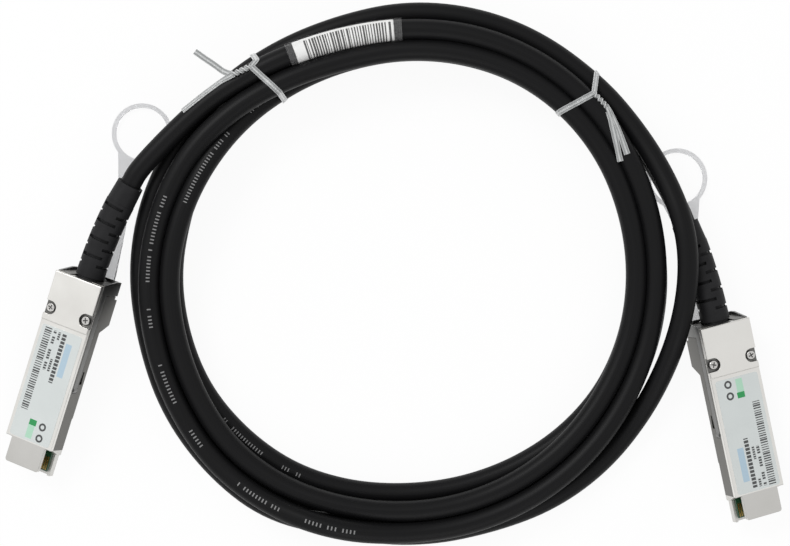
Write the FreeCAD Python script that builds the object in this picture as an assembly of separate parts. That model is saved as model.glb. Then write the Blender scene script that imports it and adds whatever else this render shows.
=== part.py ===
import FreeCAD
import Part
import math
import os

from FreeCAD import Matrix, Placement, Rotation, Vector

# Direct attach copper cable, coiled and tied, lying on a table. Millimetres, +Z up.
# A connector is drawn in its own frame and then laid in its place:
#   X along the connector from the cover's rear edge towards its nose, Y across, Z up,
#   with the outside of the label land at Z = 0.

# ---- Connector shells -------------------------------------------------------------------
PLUG_WIDTH = 18.35
PLUG_LENGTH = 68.0
BODY_HEIGHT = 8.5
NOSE_STEP_X = 46.6
NOSE_STEP = 0.4
HEAD_DEPTH = 13.8
HEAD_FRONT = 13.3
HEAD_SLOPE = 2.8
REAR_DEPTH = 12.2
REAR_LENGTH = 4.4
REAR_OVERHANG = 0.9
REAR_TOP_OVERHANG = 0.2
WALL = 1.7
FLOOR = 1.3
COVER_THICKNESS = 1.5
PLATE_LENGTH = 17.2
PLATE_RISE = 0.4
EDGE_ROUND = 0.35
NOSE_CUT = 9.4
TONGUE_WIDTH = 13.4
NOSE_PLATE_WIDTH = 16.9
NOSE_LIP = 1.6
TONGUE_SETBACK = 0.8
CLAMP_WALL = 1.4
SHELL_GAP = 0.04

# ---- Cover screws -----------------------------------------------------------------------
SCREW_X = 12.7
SCREW_SPACING = 14.1
SCREW_HEAD_RADIUS = 1.6
SCREW_HEAD_HEIGHT = 1.0
SCREW_SHANK_RADIUS = 0.8
SCREW_LENGTH = 6.0
SCREW_SINK = 0.25
RECESS_RADIUS = 2.3
CROSS_LENGTH = 1.9
CROSS_WIDTH = 0.4
CROSS_DEPTH = 0.45
BOSS_RADIUS = 1.9

# ---- Card, contacts and what is soldered to it ------------------------------------------
CARD_WIDTH = 14.9
CARD_THICKNESS = 1.0
CARD_REAR = 34.0
CARD_SETBACK = 1.3
CARD_DEPTH = 5.0
CONTACTS = 19
CONTACT_PITCH = 0.76
CONTACT_WIDTH = 0.5
CONTACT_LENGTH = 4.6
CONTACT_THICKNESS = 0.06
CONTACT_SETBACK = 0.5
POTTING_REAR = 33.0
POTTING_LENGTH = 9.0
POTTING_WIDTH = 14.0
POTTING_HEIGHT = 4.4
PAIR_COUNT = 8
PAIR_WIDTH = 1.5
PAIR_HEIGHT = 0.95
PAIR_PITCH = 1.53
PAIR_FAN = 2.7
PAIR_RISE_LENGTH = 3.4
PAIR_LAND = 1.1
FERRULE_FRONT = 9.0
FERRULE_LENGTH = 6.0
FERRULE_WALL = 0.5

# ---- Latch slider and its spring: the pull ends when the spring's coils close -------------
TRAVEL = 2.2
SLIDER_THICKNESS = 0.7
SLIDER_FRONT = 3.0
SLIDER_REAR = -1.8
SLIDER_TOP = 1.9
SLIDER_TOP_REAR = -0.3
SLIDER_LUG = 3.0
SLIDER_CLEARANCE = 0.12
ARM_TOP = 2.3
ARM_BOTTOM = 4.9
ARM_TIP = 37.8
HOOK_RADIUS = 0.9
HOOK_RISE = 0.35
POCKET_REAR = 30.2
POCKET_LENGTH = 4.6
POCKET_DEPTH = 1.1
POCKET_TOP = 5.6
POCKET_HEIGHT = 1.3
SPRING_Y = 5.9
SPRING_REAR = 5.3
SPRING_CLOSED = 1.8
SPRING_LENGTH = SPRING_CLOSED + TRAVEL
SPRING_RADIUS = 1.1
SPRING_WIRE = 0.35
SPRING_TURNS = 3
TONGUE_HALF = 1.0
ROOF = 0.8

# ---- Strain relief boot and cable -------------------------------------------------------
CABLE_RADIUS = 3.6
CABLE_DEPTH = 7.2
BOOT_LENGTH = 35.5
BOOT_BASE_RADIUS = 4.95
BOOT_END_RADIUS = 4.55
COLLAR_LENGTH = 7.3
COLLAR_RADIUS = 4.85
COLLAR_LAP = 0.15
BOOT_NECK_RADIUS = 4.3
BOOT_FLANGE_RADIUS = 4.7
BOOT_FLANGE = 1.2
BORE_CLEARANCE = 0.05
SLOT_MARGIN = 1.45
SLOT_FIRST = 5.4
SLOT_LEVELS = 8
SLOT_WIDTH = 1.0
SLOT_DEPTH = 1.0
SLOT_ANGLE = 104.0

# ---- Pull tab ---------------------------------------------------------------------------
TAB_THICKNESS = 1.1
TAB_ROOT_WIDTH = 11.6
TAB_WAIST = 5.0
TAB_NECK = 7.2
NECK_FROM_RING = 18.0
TAB_FLARE = 14.0
FLARE_FROM_RING = 5.7
RING_RADIUS = 10.4
RING_BAND = 1.45
RIVET_RADIUS = 1.0
RIVET_SPACING = 6.4
TAB_ROOT_REAR = 3.4
TAB_TWIST_LENGTH = 20.0
TAB_STATIONS = 4
TAB_LIFT = 0.05

# ---- Label ------------------------------------------------------------------------------
LABEL_LENGTH = 39.5
LABEL_WIDTH = 15.9
LABEL_THICKNESS = 0.08
LABEL_SETBACK = 1.3
LABEL_CORNER = 1.0

# ---- Where the connectors lie: rear edge of the cover, heading of the nose, roll, nose-down
# pitch, which way the boot bends (degrees from +Z towards +Y) and how much, how far behind the
# rear edge the finger ring lies, and how far it swings to the side.
ORIGIN_SHIFT = Vector(0.25, 13.33, 0.0)
PLUGS = {
    "a": {"rear": (-106.5, -1.8), "heading": -107.8, "roll": 20.0, "pitch": 4.4, "bend": (90.0, 14.0),
          "ring_reach": 52.4, "ring_swing": -1.25},
    "b": {"rear": (111.2, -17.0), "heading": -77.6, "roll": -16.0, "pitch": 4.4, "bend": (-140.0, 12.0),
          "ring_reach": 50.4, "ring_swing": 0.5},
}

# ---- Coil, loose turn, sleeve and ties --------------------------------------------------
COIL_CENTRE = Vector(3.4, 0.3, 0.0)
TIED_FROM, TIED_TO, OPEN_TO = 282.0, 80.0, 152.0
# Strands across the bundle, as distance from the coil's centre and height.
TIED_STRANDS = [(77.0, 5.1), (84.2, 5.1), (87.8, 11.3), (84.1, 17.5), (76.9, 17.5)]
OPEN_STRANDS = [(78.0, 3.6), (85.2, 3.6), (86.4, 10.7), (79.2, 10.7)]
LOOSE_STRANDS = [(75.7, 3.6), (82.7, 3.6), (89.5, 3.6), (88.2, 10.5), (80.9, 10.5)]
VALLEY_ANGLE = 50.0
# Routes as clock angle, distance from the coil's centre and height. A tail runs straight through
# the end of its boot and a little way on.
TAIL_STRAIGHT = 6.0
TAIL_ROUTE = {
    "a": [(301.0, 91.2, 16.7), (311.5, 87.9, 17.5), (321.0, 84.5, 17.5)],
    "b": [(64.0, 92.6, 7.2), (54.5, 90.4, 5.4), (46.5, 88.2, 5.1)],
}
OUTER_TURN = [
    (46.0, 90.0, 12.0), (58.0, 91.4, 13.2), (69.0, 93.0, 15.8), (79.5, 94.8, 19.0), (88.5, 95.5, 18.6),
    (98.5, 95.1, 16.1), (109.0, 94.1, 10.2), (121.0, 92.9, 5.1), (134.0, 92.1, 3.65), (147.0, 91.2, 3.65),
    (160.0, 89.5, 3.65),
]
SLEEVE_RADIUS = 4.3
SLEEVE_WALL = 0.2
SLEEVE_PLACE = (84.1, 17.5)
SLEEVE_FROM, SLEEVE_TO = 331.0, 361.0
PAPER_THICKNESS = 0.12
PAPER_MARGIN = 2.6
PAPER_SPAN = (-40.0, 125.0)
TIE_ANGLES = {"tie_1": 325.0, "tie_2": 44.0}
TIE_WIDTH = 2.1
TIE_THICKNESS = 0.5
TIE_CLEARANCE = 0.05
TIE_STEM_RADIUS = 1.0
TIE_ENDS = {
    "tie_1": ((325.0, 84.5, 21.6), (318.5, 88.9, 21.6), [(306.0, 93.3, 21.9), (316.4, 104.0, 19.6)]),
    "tie_2": ((44.0, 84.5, 21.6), (50.5, 87.8, 21.4), [(62.3, 81.5, 21.8), (61.6, 85.0, 21.8)]),
}


# The bundle, its sleeve and the paper are turned from outlines of short chords.
CHORD = 1.4


def box(x0, x1, y0, y1, z0, z1):
    return Part.makeBox(x1 - x0, y1 - y0, z1 - z0, Vector(x0, y0, z0))


def prism(points, direction):
    """A flat outline given by its corners, pushed along a direction."""
    corners = [Vector(*p) for p in points]
    return Part.Face(Part.makePolygon(corners + [corners[0]])).extrude(Vector(*direction))


def rod(radius, length, base, axis):
    return Part.makeCylinder(radius, length, Vector(*base), Vector(*axis))


def mirrored(shape):
    """The shape and its image across the connector's middle plane."""
    return [shape, shape.mirror(Vector(0, 0, 0), Vector(0, 1, 0))]


def joined(shapes):
    """One solid from pieces that overlap or share a face."""
    first, rest = shapes[0], shapes[1:]
    return first.fuse(rest).removeSplitter() if rest else first


def chords(edge):
    """A round edge as short straight ones, so that what is turned from it keeps few faces."""
    points = edge.discretize(max(3, round(edge.Length / CHORD) + 1))
    return [Part.LineSegment(a, b).toShape() for a, b in zip(points, points[1:])]


def rounded_edges(shape, radius, wanted):
    edges = [e for e in shape.Edges if wanted(e)]
    return shape.makeFillet(radius, edges) if edges else shape


def runs_along(edge, axis):
    a, b = edge.Vertexes[0].Point, edge.Vertexes[-1].Point
    return len(edge.Vertexes) == 2 and abs(abs((b - a).normalize().dot(axis)) - 1) < 1e-6


def side_outline(top):
    """The connector's outline seen from the side, below a given height."""
    head_end = HEAD_FRONT + HEAD_SLOPE
    return [
        (-REAR_TOP_OVERHANG, top), (-REAR_OVERHANG, -REAR_DEPTH), (REAR_LENGTH, -REAR_DEPTH),
        (REAR_LENGTH, -HEAD_DEPTH), (HEAD_FRONT, -HEAD_DEPTH), (head_end, -BODY_HEIGHT),
        (NOSE_STEP_X, -BODY_HEIGHT), (NOSE_STEP_X + NOSE_STEP, NOSE_STEP - BODY_HEIGHT),
        (PLUG_LENGTH, NOSE_STEP - BODY_HEIGHT), (PLUG_LENGTH, top),
    ]


def lower_shell():
    half = PLUG_WIDTH / 2
    top = -COVER_THICKNESS
    outer = prism([(x, -half, z) for x, z in side_outline(top)], (0, PLUG_WIDTH, 0))
    outer = rounded_edges(outer, EDGE_ROUND, lambda e: runs_along(e, Vector(1, 0, 0))
                          and e.CenterOfMass.z < top - 1)
    inner_half = half - WALL
    nose_start = PLUG_LENGTH - NOSE_CUT
    floor = FLOOR - HEAD_DEPTH
    body_floor = FLOOR - BODY_HEIGHT
    # The trough: a deep well in the head and a shallow channel to the nose.
    well = box(REAR_LENGTH + WALL, HEAD_FRONT - WALL / 2, -inner_half, inner_half, floor, top + 1)
    channel = box(WALL, PLUG_LENGTH + 1, -inner_half, inner_half, body_floor, top + 1)
    shell = outer.cut(well.fuse(channel))
    # The nose: side walls cut down to low lips on a narrower plate.
    lip_top = body_floor + NOSE_LIP
    past = PLUG_WIDTH
    sides = prism([(nose_start, -past, top + 1), (nose_start, -past, top), (nose_start + 1.6, -past, lip_top),
                   (PLUG_LENGTH + 1, -past, lip_top), (PLUG_LENGTH + 1, -past, top + 1)], (0, 2 * past, 0))
    trim = box(nose_start + 1.6, PLUG_LENGTH + 1, NOSE_PLATE_WIDTH / 2, past, -BODY_HEIGHT - 1, 0)
    shell = shell.cut([sides] + mirrored(trim))
    # Bosses for the cover screws, the saddle for the ferrule and the seats of the card.
    saddle_x = FERRULE_FRONT - FERRULE_LENGTH
    ferrule_radius = CABLE_RADIUS + FERRULE_WALL
    boss = rod(BOSS_RADIUS, HEAD_DEPTH - COVER_THICKNESS - FLOOR / 2,
               (SCREW_X, SCREW_SPACING / 2, FLOOR / 2 - HEAD_DEPTH), (0, 0, 1))
    saddle = box(saddle_x + 1, FERRULE_FRONT - 1, -inner_half - 0.1, inner_half + 0.1, floor - 0.1, -CABLE_DEPTH)
    seat_top = -CARD_DEPTH - CARD_THICKNESS / 2
    seat = box(CARD_REAR + POTTING_LENGTH + 3, nose_start - 2, inner_half - 1.2, inner_half + 0.1,
               body_floor - 0.1, seat_top)
    room = spring_room(0)
    roof = box(room.XMin - ROOF, room.XMax + ROOF, room.YMin - ROOF, min(room.YMax + ROOF, inner_half + 0.1),
               floor - 0.1, room.ZMax + ROOF)
    shell = shell.fuse(mirrored(boss) + [saddle] + mirrored(seat) + mirrored(roof)).removeSplitter()
    # Openings: the cable's way in, the ferrule's bed and the screw holes.
    neck, flange = BOOT_NECK_RADIUS + SHELL_GAP, BOOT_FLANGE_RADIUS + SHELL_GAP
    flange_end = BOOT_FLANGE + SHELL_GAP
    cuts = [
        rod(neck, REAR_OVERHANG + WALL + 2, (-REAR_OVERHANG - 1, 0, -CABLE_DEPTH), (1, 0, 0)),
        box(-REAR_OVERHANG - 1, WALL + 1, -neck, neck, -CABLE_DEPTH, top + 1),
        rod(flange, flange_end + SHELL_GAP, (-SHELL_GAP, 0, -CABLE_DEPTH), (1, 0, 0)),
        box(-SHELL_GAP, flange_end, -flange, flange, -CABLE_DEPTH, top + 1),
        rod(ferrule_radius + SHELL_GAP, FERRULE_LENGTH + 4, (saddle_x - 2, 0, -CABLE_DEPTH), (1, 0, 0)),
    ]
    hole = rod(SCREW_SHANK_RADIUS + SHELL_GAP, SCREW_LENGTH, (SCREW_X, SCREW_SPACING / 2, -SCREW_LENGTH), (0, 0, 1))
    # Side grooves for the slider's arms, beds for its cheeks, and the latch pockets.
    bed_depth = SLIDER_THICKNESS + SLIDER_CLEARANCE
    bed_y = half - bed_depth
    cheek_bed = box(-REAR_OVERHANG - 1, SLIDER_FRONT + SLIDER_CLEARANCE, bed_y, past,
                    -past, SLIDER_CLEARANCE - SLIDER_TOP)
    arm_bed = box(0, ARM_TIP + SLIDER_CLEARANCE, bed_y, past,
                  -ARM_BOTTOM - SLIDER_CLEARANCE, SLIDER_CLEARANCE - ARM_TOP)
    pocket = prism([(POCKET_REAR, half - POCKET_DEPTH, -POCKET_TOP),
                    (POCKET_REAR + POCKET_LENGTH, half - POCKET_DEPTH, -POCKET_TOP + 0.4),
                    (POCKET_REAR + POCKET_LENGTH, half - POCKET_DEPTH, -POCKET_TOP - POCKET_HEIGHT),
                    (POCKET_REAR, half - POCKET_DEPTH, -POCKET_TOP - 0.8)], (0, past, 0))
    # A tunnel under each side of the head holds a spring over a tongue of the slider.
    room = spring_room(1.0)
    tunnel = box(room.XMin, room.XMax, room.YMin, room.YMax, room.ZMin, room.ZMax)
    tongue_way = box(REAR_LENGTH - 1, room.XMax, SPRING_Y - TONGUE_HALF - SLIDER_CLEARANCE,
                     SPRING_Y + TONGUE_HALF + SLIDER_CLEARANCE, room.ZMin, slider_floor_top() + SLIDER_CLEARANCE)
    for tool in (hole, cheek_bed, arm_bed, pocket, tunnel, tongue_way):
        cuts += mirrored(tool)
    return shell.cut(cuts).removeSplitter()


def slider_floor_top():
    """Top of the slider's plate, just under the rear of the head."""
    return -REAR_DEPTH - 2 * SLIDER_CLEARANCE


def spring_axis_z():
    return slider_floor_top() + 0.1 + SPRING_RADIUS


def finger_x():
    """Rear face of the finger that the spring pushes on."""
    return SPRING_REAR + SPRING_LENGTH + 0.1


def spring_room(below):
    """The box that a spring and the slider's finger work in, open downwards."""
    side = SPRING_RADIUS + 0.2
    front = finger_x() + SLIDER_THICKNESS + 0.15
    return FreeCAD.BoundBox(SPRING_REAR - 0.1, SPRING_Y - side, -HEAD_DEPTH - below,
                            front, SPRING_Y + side, spring_axis_z() + SPRING_RADIUS + 0.15)


def cover_shell():
    half = PLUG_WIDTH / 2
    nose_start = PLUG_LENGTH - NOSE_CUT
    bottom = -COVER_THICKNESS + SHELL_GAP
    tip = PLUG_LENGTH - TONGUE_SETBACK
    land = box(0, tip, -half, half, bottom, 0)
    plate = box(0, PLATE_LENGTH, -half, half, bottom, PLATE_RISE)
    plate = rounded_edges(plate, EDGE_ROUND, lambda e: e.CenterOfMass.z > PLATE_RISE - 1e-6)
    # A rib on the inside locates the cover between the side walls.
    rib_y = half - WALL - SHELL_GAP
    rib = box(PLATE_LENGTH, nose_start - 1, rib_y - 0.8, rib_y, bottom - 1.0, bottom + 0.1)
    # Clamp blocks close the cable's way in and hold the ferrule down in its saddle.
    ferrule_radius = CABLE_RADIUS + FERRULE_WALL
    clamp_y = BOOT_NECK_RADIUS - SHELL_GAP
    mouth = box(0, WALL - SHELL_GAP, -clamp_y, clamp_y, SHELL_GAP - CABLE_DEPTH, bottom + 0.1)
    grip_y = ferrule_radius + CLAMP_WALL
    grip = box(FERRULE_FRONT - FERRULE_LENGTH + 1, FERRULE_FRONT - 1, -grip_y, grip_y,
               SHELL_GAP - CABLE_DEPTH, bottom + 0.1)
    cover = joined([land, plate, mouth, grip] + mirrored(rib))
    side = box(nose_start, PLUG_LENGTH + 1, TONGUE_WIDTH / 2, half + 1, bottom - 2, 1)
    cover = cover.cut(mirrored(side))
    cover = rounded_edges(cover, 1.0, lambda e: runs_along(e, Vector(0, 0, 1))
                          and e.CenterOfMass.x > tip - 1e-6)
    cover = rounded_edges(cover, 0.2, lambda e: runs_along(e, Vector(1, 0, 0))
                          and abs(e.CenterOfMass.z) < 1e-6 and e.CenterOfMass.x > PLATE_LENGTH)
    recess_floor = PLATE_RISE - SCREW_SINK - SCREW_HEAD_HEIGHT
    recess = joined([
        rod(RECESS_RADIUS, 3, (SCREW_X, SCREW_SPACING / 2, recess_floor), (0, 0, 1)),
        box(SCREW_X - RECESS_RADIUS, SCREW_X + RECESS_RADIUS, SCREW_SPACING / 2, half + 1,
            recess_floor, recess_floor + 3),
    ])
    hole = rod(SCREW_SHANK_RADIUS + SHELL_GAP, 4, (SCREW_X, SCREW_SPACING / 2, -3), (0, 0, 1))
    beds = [
        rod(ferrule_radius + SHELL_GAP, FERRULE_LENGTH, (FERRULE_FRONT - FERRULE_LENGTH, 0, -CABLE_DEPTH), (1, 0, 0)),
        rod(BOOT_NECK_RADIUS + SHELL_GAP, WALL + 1, (-0.5, 0, -CABLE_DEPTH), (1, 0, 0)),
        rod(BOOT_FLANGE_RADIUS + SHELL_GAP, BOOT_FLANGE + 2 * SHELL_GAP,
            (-SHELL_GAP, 0, -CABLE_DEPTH), (1, 0, 0)),
    ]
    return cover.cut(mirrored(recess) + mirrored(hole) + beds)


def cover_screws():
    top = PLATE_RISE - SCREW_SINK
    y = SCREW_SPACING / 2
    seat = top - SCREW_HEAD_HEIGHT + SHELL_GAP
    head = rod(SCREW_HEAD_RADIUS, SCREW_HEAD_HEIGHT - SHELL_GAP, (SCREW_X, y, seat), (0, 0, 1))
    head = head.makeChamfer(0.25, [e for e in head.Edges if e.CenterOfMass.z > top - 1e-6])
    shank = rod(SCREW_SHANK_RADIUS, SCREW_LENGTH - SCREW_HEAD_HEIGHT / 2, (SCREW_X, y, top - SCREW_LENGTH), (0, 0, 1))
    long_way, short_way = CROSS_LENGTH / 2, CROSS_WIDTH / 2
    slot = box(-long_way, long_way, -short_way, short_way, top - CROSS_DEPTH, top + 1)
    other = box(-short_way, short_way, -long_way, long_way, top - CROSS_DEPTH, top + 1)
    cross = slot.fuse(other)
    cross.rotate(Vector(0, 0, 0), Vector(0, 0, 1), 20)
    cross.translate(Vector(SCREW_X, y, 0))
    return Part.makeCompound(mirrored(joined([head, shank]).cut(cross)))


def paddle_card():
    top = -CARD_DEPTH + CARD_THICKNESS / 2
    front = PLUG_LENGTH - CARD_SETBACK
    half = CARD_WIDTH / 2
    card = box(CARD_REAR, front, -half, half, top - CARD_THICKNESS, top)
    return card.makeChamfer(0.25, [e for e in card.Edges if runs_along(e, Vector(0, 1, 0))
                                   and e.CenterOfMass.x > front - 1e-6])


def edge_contacts():
    front = PLUG_LENGTH - CARD_SETBACK - CONTACT_SETBACK
    pads = []
    for face in (1, -1):
        z = -CARD_DEPTH + face * CARD_THICKNESS / 2
        low, high = sorted((z, z + face * CONTACT_THICKNESS))
        for i in range(CONTACTS):
            y = (i - (CONTACTS - 1) / 2) * CONTACT_PITCH
            pads.append(box(front - CONTACT_LENGTH, front, y - CONTACT_WIDTH / 2, y + CONTACT_WIDTH / 2, low, high))
    return Part.makeCompound(pads)


def potting_block():
    half = POTTING_WIDTH / 2
    return box(POTTING_REAR, POTTING_REAR + POTTING_LENGTH, -half, half,
               -CARD_DEPTH - POTTING_HEIGHT / 2, -CARD_DEPTH + POTTING_HEIGHT / 2)


def solder_potting():
    card_slot = box(CARD_REAR, PLUG_LENGTH, -CARD_WIDTH / 2, CARD_WIDTH / 2,
                    -CARD_DEPTH - CARD_THICKNESS / 2, -CARD_DEPTH + CARD_THICKNESS / 2)
    block = rounded_edges(potting_block(), 0.8, lambda e: runs_along(e, Vector(1, 0, 0)))
    return block.cut(card_slot)


def conductor_pairs():
    """Eight flat pairs fan out from the cable's braid, four to each face of the card."""
    per_row = PAIR_COUNT // 2
    start, bend, end = FERRULE_FRONT, FERRULE_FRONT + PAIR_RISE_LENGTH, POTTING_REAR
    pairs = []
    for face in (1, -1):
        for i in range(per_row):
            spread = i - (per_row - 1) / 2
            packed = Vector(start, spread * PAIR_PITCH, -CABLE_DEPTH + face * PAIR_HEIGHT * 0.55)
            fanned = Vector(bend, spread * PAIR_FAN, -CARD_DEPTH + face * PAIR_LAND)
            landed = Vector(end, fanned.y, fanned.z)
            pairs.append(ribbon([packed, fanned, landed], PAIR_WIDTH, PAIR_HEIGHT))
    return Part.makeCompound(pairs)


def ribbon(points, width, height):
    """A flat bar through level stations along X, one loft with straight rulings."""
    sections = []
    for p in points:
        corners = [p + Vector(0, sy * width / 2, sz * height / 2) for sy, sz in ((-1, -1), (1, -1), (1, 1), (-1, 1))]
        sections.append(Part.makePolygon(corners + [corners[0]]))
    return Part.makeLoft(sections, True, True)


def crimp_ferrule():
    ring = rod(CABLE_RADIUS + FERRULE_WALL, FERRULE_LENGTH, (FERRULE_FRONT - FERRULE_LENGTH, 0, -CABLE_DEPTH), (1, 0, 0))
    bore = rod(CABLE_RADIUS + BORE_CLEARANCE, FERRULE_LENGTH + 2,
               (FERRULE_FRONT - FERRULE_LENGTH - 1, 0, -CABLE_DEPTH), (1, 0, 0))
    return ring.cut(bore)


def latch_slider():
    """One stamping: a cross plate under the head, two cheeks, two hooked arms and two spring tongues."""
    half = PLUG_WIDTH / 2
    inner = half - SLIDER_THICKNESS
    floor_top = slider_floor_top()
    floor_bottom = floor_top - SLIDER_THICKNESS
    cheek = prism([(x, inner, z) for x, z in (
        (SLIDER_REAR, floor_bottom), (SLIDER_FRONT, floor_bottom), (SLIDER_FRONT, -SLIDER_TOP),
        (SLIDER_TOP_REAR, -SLIDER_TOP), (SLIDER_REAR, floor_bottom + SLIDER_LUG))], (0, SLIDER_THICKNESS, 0))
    arm = box(SLIDER_FRONT - 0.5, ARM_TIP, inner, half, -ARM_BOTTOM, -ARM_TOP)
    hook = rod(HOOK_RADIUS, ARM_BOTTOM - ARM_TOP - 0.4,
               (ARM_TIP - HOOK_RADIUS, half - HOOK_RADIUS + HOOK_RISE, -ARM_BOTTOM + 0.2), (0, 0, 1))
    hook = hook.common(box(0, PLUG_LENGTH, inner, half + 1, -BODY_HEIGHT, 0))
    floor = box(SLIDER_REAR, SLIDER_FRONT, -half, half, floor_bottom, floor_top)
    finger_front = finger_x() + SLIDER_THICKNESS
    tongue = box(SLIDER_FRONT - 0.5, finger_front, SPRING_Y - TONGUE_HALF, SPRING_Y + TONGUE_HALF,
                 floor_bottom, floor_top)
    finger = box(finger_x(), finger_front, SPRING_Y - TONGUE_HALF, SPRING_Y + TONGUE_HALF,
                 floor_bottom, spring_axis_z() + SPRING_RADIUS / 2)
    slider = joined([floor] + mirrored(cheek) + mirrored(arm) + mirrored(hook) + mirrored(tongue)
                    + mirrored(finger))
    rivet_hole = rod(RIVET_RADIUS + 0.05, 3, (0, RIVET_SPACING / 2, floor_bottom - 1), (0, 0, 1))
    return slider.cut(mirrored(rivet_hole))


def return_springs():
    """Two short springs of square wire, each between the shell and a finger of the slider."""
    rise = SPRING_LENGTH - SPRING_WIRE
    centre_radius = SPRING_RADIUS - SPRING_WIRE / 2
    helix = Part.Wire(Part.makeHelix(rise / SPRING_TURNS, rise, centre_radius))
    half = SPRING_WIRE / 2
    corners = [Vector(centre_radius + sx * half, 0, sz * half) for sx, sz in ((-1, -1), (1, -1), (1, 1), (-1, 1))]
    spring = helix.makePipeShell([Part.makePolygon(corners + [corners[0]])], True, True)
    spring.rotate(Vector(0, 0, 0), Vector(0, 1, 0), 90)
    spring.translate(Vector(SPRING_REAR + half, SPRING_Y, spring_axis_z()))
    return Part.makeCompound(mirrored(spring))


def label():
    x0 = PLATE_LENGTH + LABEL_SETBACK
    sticker = box(x0, x0 + LABEL_LENGTH, -LABEL_WIDTH / 2, LABEL_WIDTH / 2, 0, LABEL_THICKNESS)
    return rounded_edges(sticker, LABEL_CORNER, lambda e: runs_along(e, Vector(0, 0, 1)))


# ---- Boot: a tapered tube on an arc that starts along the connector's axis ---------------
def boot_frame(s, bend):
    """Place and heading at a distance s behind the cover, on the boot's bent axis."""
    side, amount = (math.radians(angle) for angle in bend)
    sideways = Vector(0, math.sin(side), math.cos(side))
    radius = BOOT_LENGTH / amount
    angle = s / radius
    place = Vector(-radius * math.sin(angle), 0, -CABLE_DEPTH) + sideways * (radius * (1 - math.cos(angle)))
    heading = Vector(-math.cos(angle), 0, 0) + sideways * math.sin(angle)
    return place, heading, sideways


def boot_bar(radius, start, end, bend):
    """A round bar of even thickness along the boot's bent axis."""
    place, heading, sideways = boot_frame(start, bend)
    bend_radius = BOOT_LENGTH / math.radians(bend[1])
    centre = Vector(0, 0, -CABLE_DEPTH) + sideways * bend_radius
    disc = Part.Face(Part.Wire(Part.makeCircle(radius, place, heading)))
    return disc.revolve(centre, Vector(-1, 0, 0).cross(sideways), math.degrees((end - start) / bend_radius))


def boot_collar(bend):
    """The plain end of the boot, a shade slimmer and tapering towards the cable."""
    start, end = (boot_frame(s, bend)[0] for s in (BOOT_LENGTH - COLLAR_LENGTH, BOOT_LENGTH))
    return Part.makeCone(COLLAR_RADIUS, BOOT_END_RADIUS, (end - start).Length, start, end - start)


def boot_slot(s, bend, facing):
    """A groove part of the way round the boot, in the plane across its axis."""
    place, heading, sideways = boot_frame(s, bend)
    base = place - heading * (SLOT_WIDTH / 2)
    start = Rotation(heading, facing - SLOT_ANGLE / 2).multVec(sideways - heading * sideways.dot(heading))
    sector = Part.makeCylinder(BOOT_BASE_RADIUS + 1, SLOT_WIDTH, Vector(0, 0, 0), Vector(0, 0, 1), SLOT_ANGLE)
    frame = Rotation(start, heading.cross(start), heading, "ZXY")
    sector.Placement = Placement(base, frame)
    core = Part.makeCylinder(BOOT_BASE_RADIUS - SLOT_DEPTH, SLOT_WIDTH + 2, base - heading, heading)
    return sector.cut(core)


def strain_relief(bend):
    collar_from = BOOT_LENGTH - COLLAR_LENGTH
    outer = boot_bar(BOOT_BASE_RADIUS, REAR_OVERHANG + SHELL_GAP, collar_from + COLLAR_LAP, bend)
    neck = rod(BOOT_NECK_RADIUS, REAR_OVERHANG + 0.4, (-REAR_OVERHANG - 0.3, 0, -CABLE_DEPTH), (1, 0, 0))
    flange = rod(BOOT_FLANGE_RADIUS, BOOT_FLANGE, (0, 0, -CABLE_DEPTH), (1, 0, 0))
    boot = outer.fuse([boot_collar(bend), neck, flange])
    bore = boot_bar(CABLE_RADIUS + BORE_CLEARANCE, 0, BOOT_LENGTH + 1, bend)
    inlet = rod(CABLE_RADIUS + BORE_CLEARANCE, 4, (0, 0, -CABLE_DEPTH), (1, 0, 0))
    slots = []
    pitch = (collar_from - SLOT_MARGIN - SLOT_FIRST) / (SLOT_LEVELS - 1)
    for level in range(SLOT_LEVELS):
        s = SLOT_FIRST + level * pitch
        quarter = 90 * (level % 2)
        slots += [boot_slot(s, bend, quarter), boot_slot(s, bend, quarter + 180)]
    return boot.cut([bore, inlet] + slots)


# ---- Placing a connector ----------------------------------------------------------------
def plug_placement(plug):
    turn = Rotation(Vector(0, 0, 1), plug["heading"])
    nose_down = Rotation(Vector(0, 1, 0), plug["pitch"])
    roll = Rotation(Vector(1, 0, 0), plug["roll"])
    spin = turn.multiply(nose_down).multiply(roll)
    # The lowest corner of the shell's underside touches the table.
    half = PLUG_WIDTH / 2
    corners = [Vector(x, y, z) for x, z in side_outline(0) for y in (-half, half)]
    lift = -min(spin.multVec(c).z for c in corners)
    x, y = plug["rear"]
    return Placement(Vector(x, y, lift) + ORIGIN_SHIFT, spin)


def placed(shape, place):
    moved = shape.copy()
    moved.Placement = place.multiply(moved.Placement)
    return moved


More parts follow.
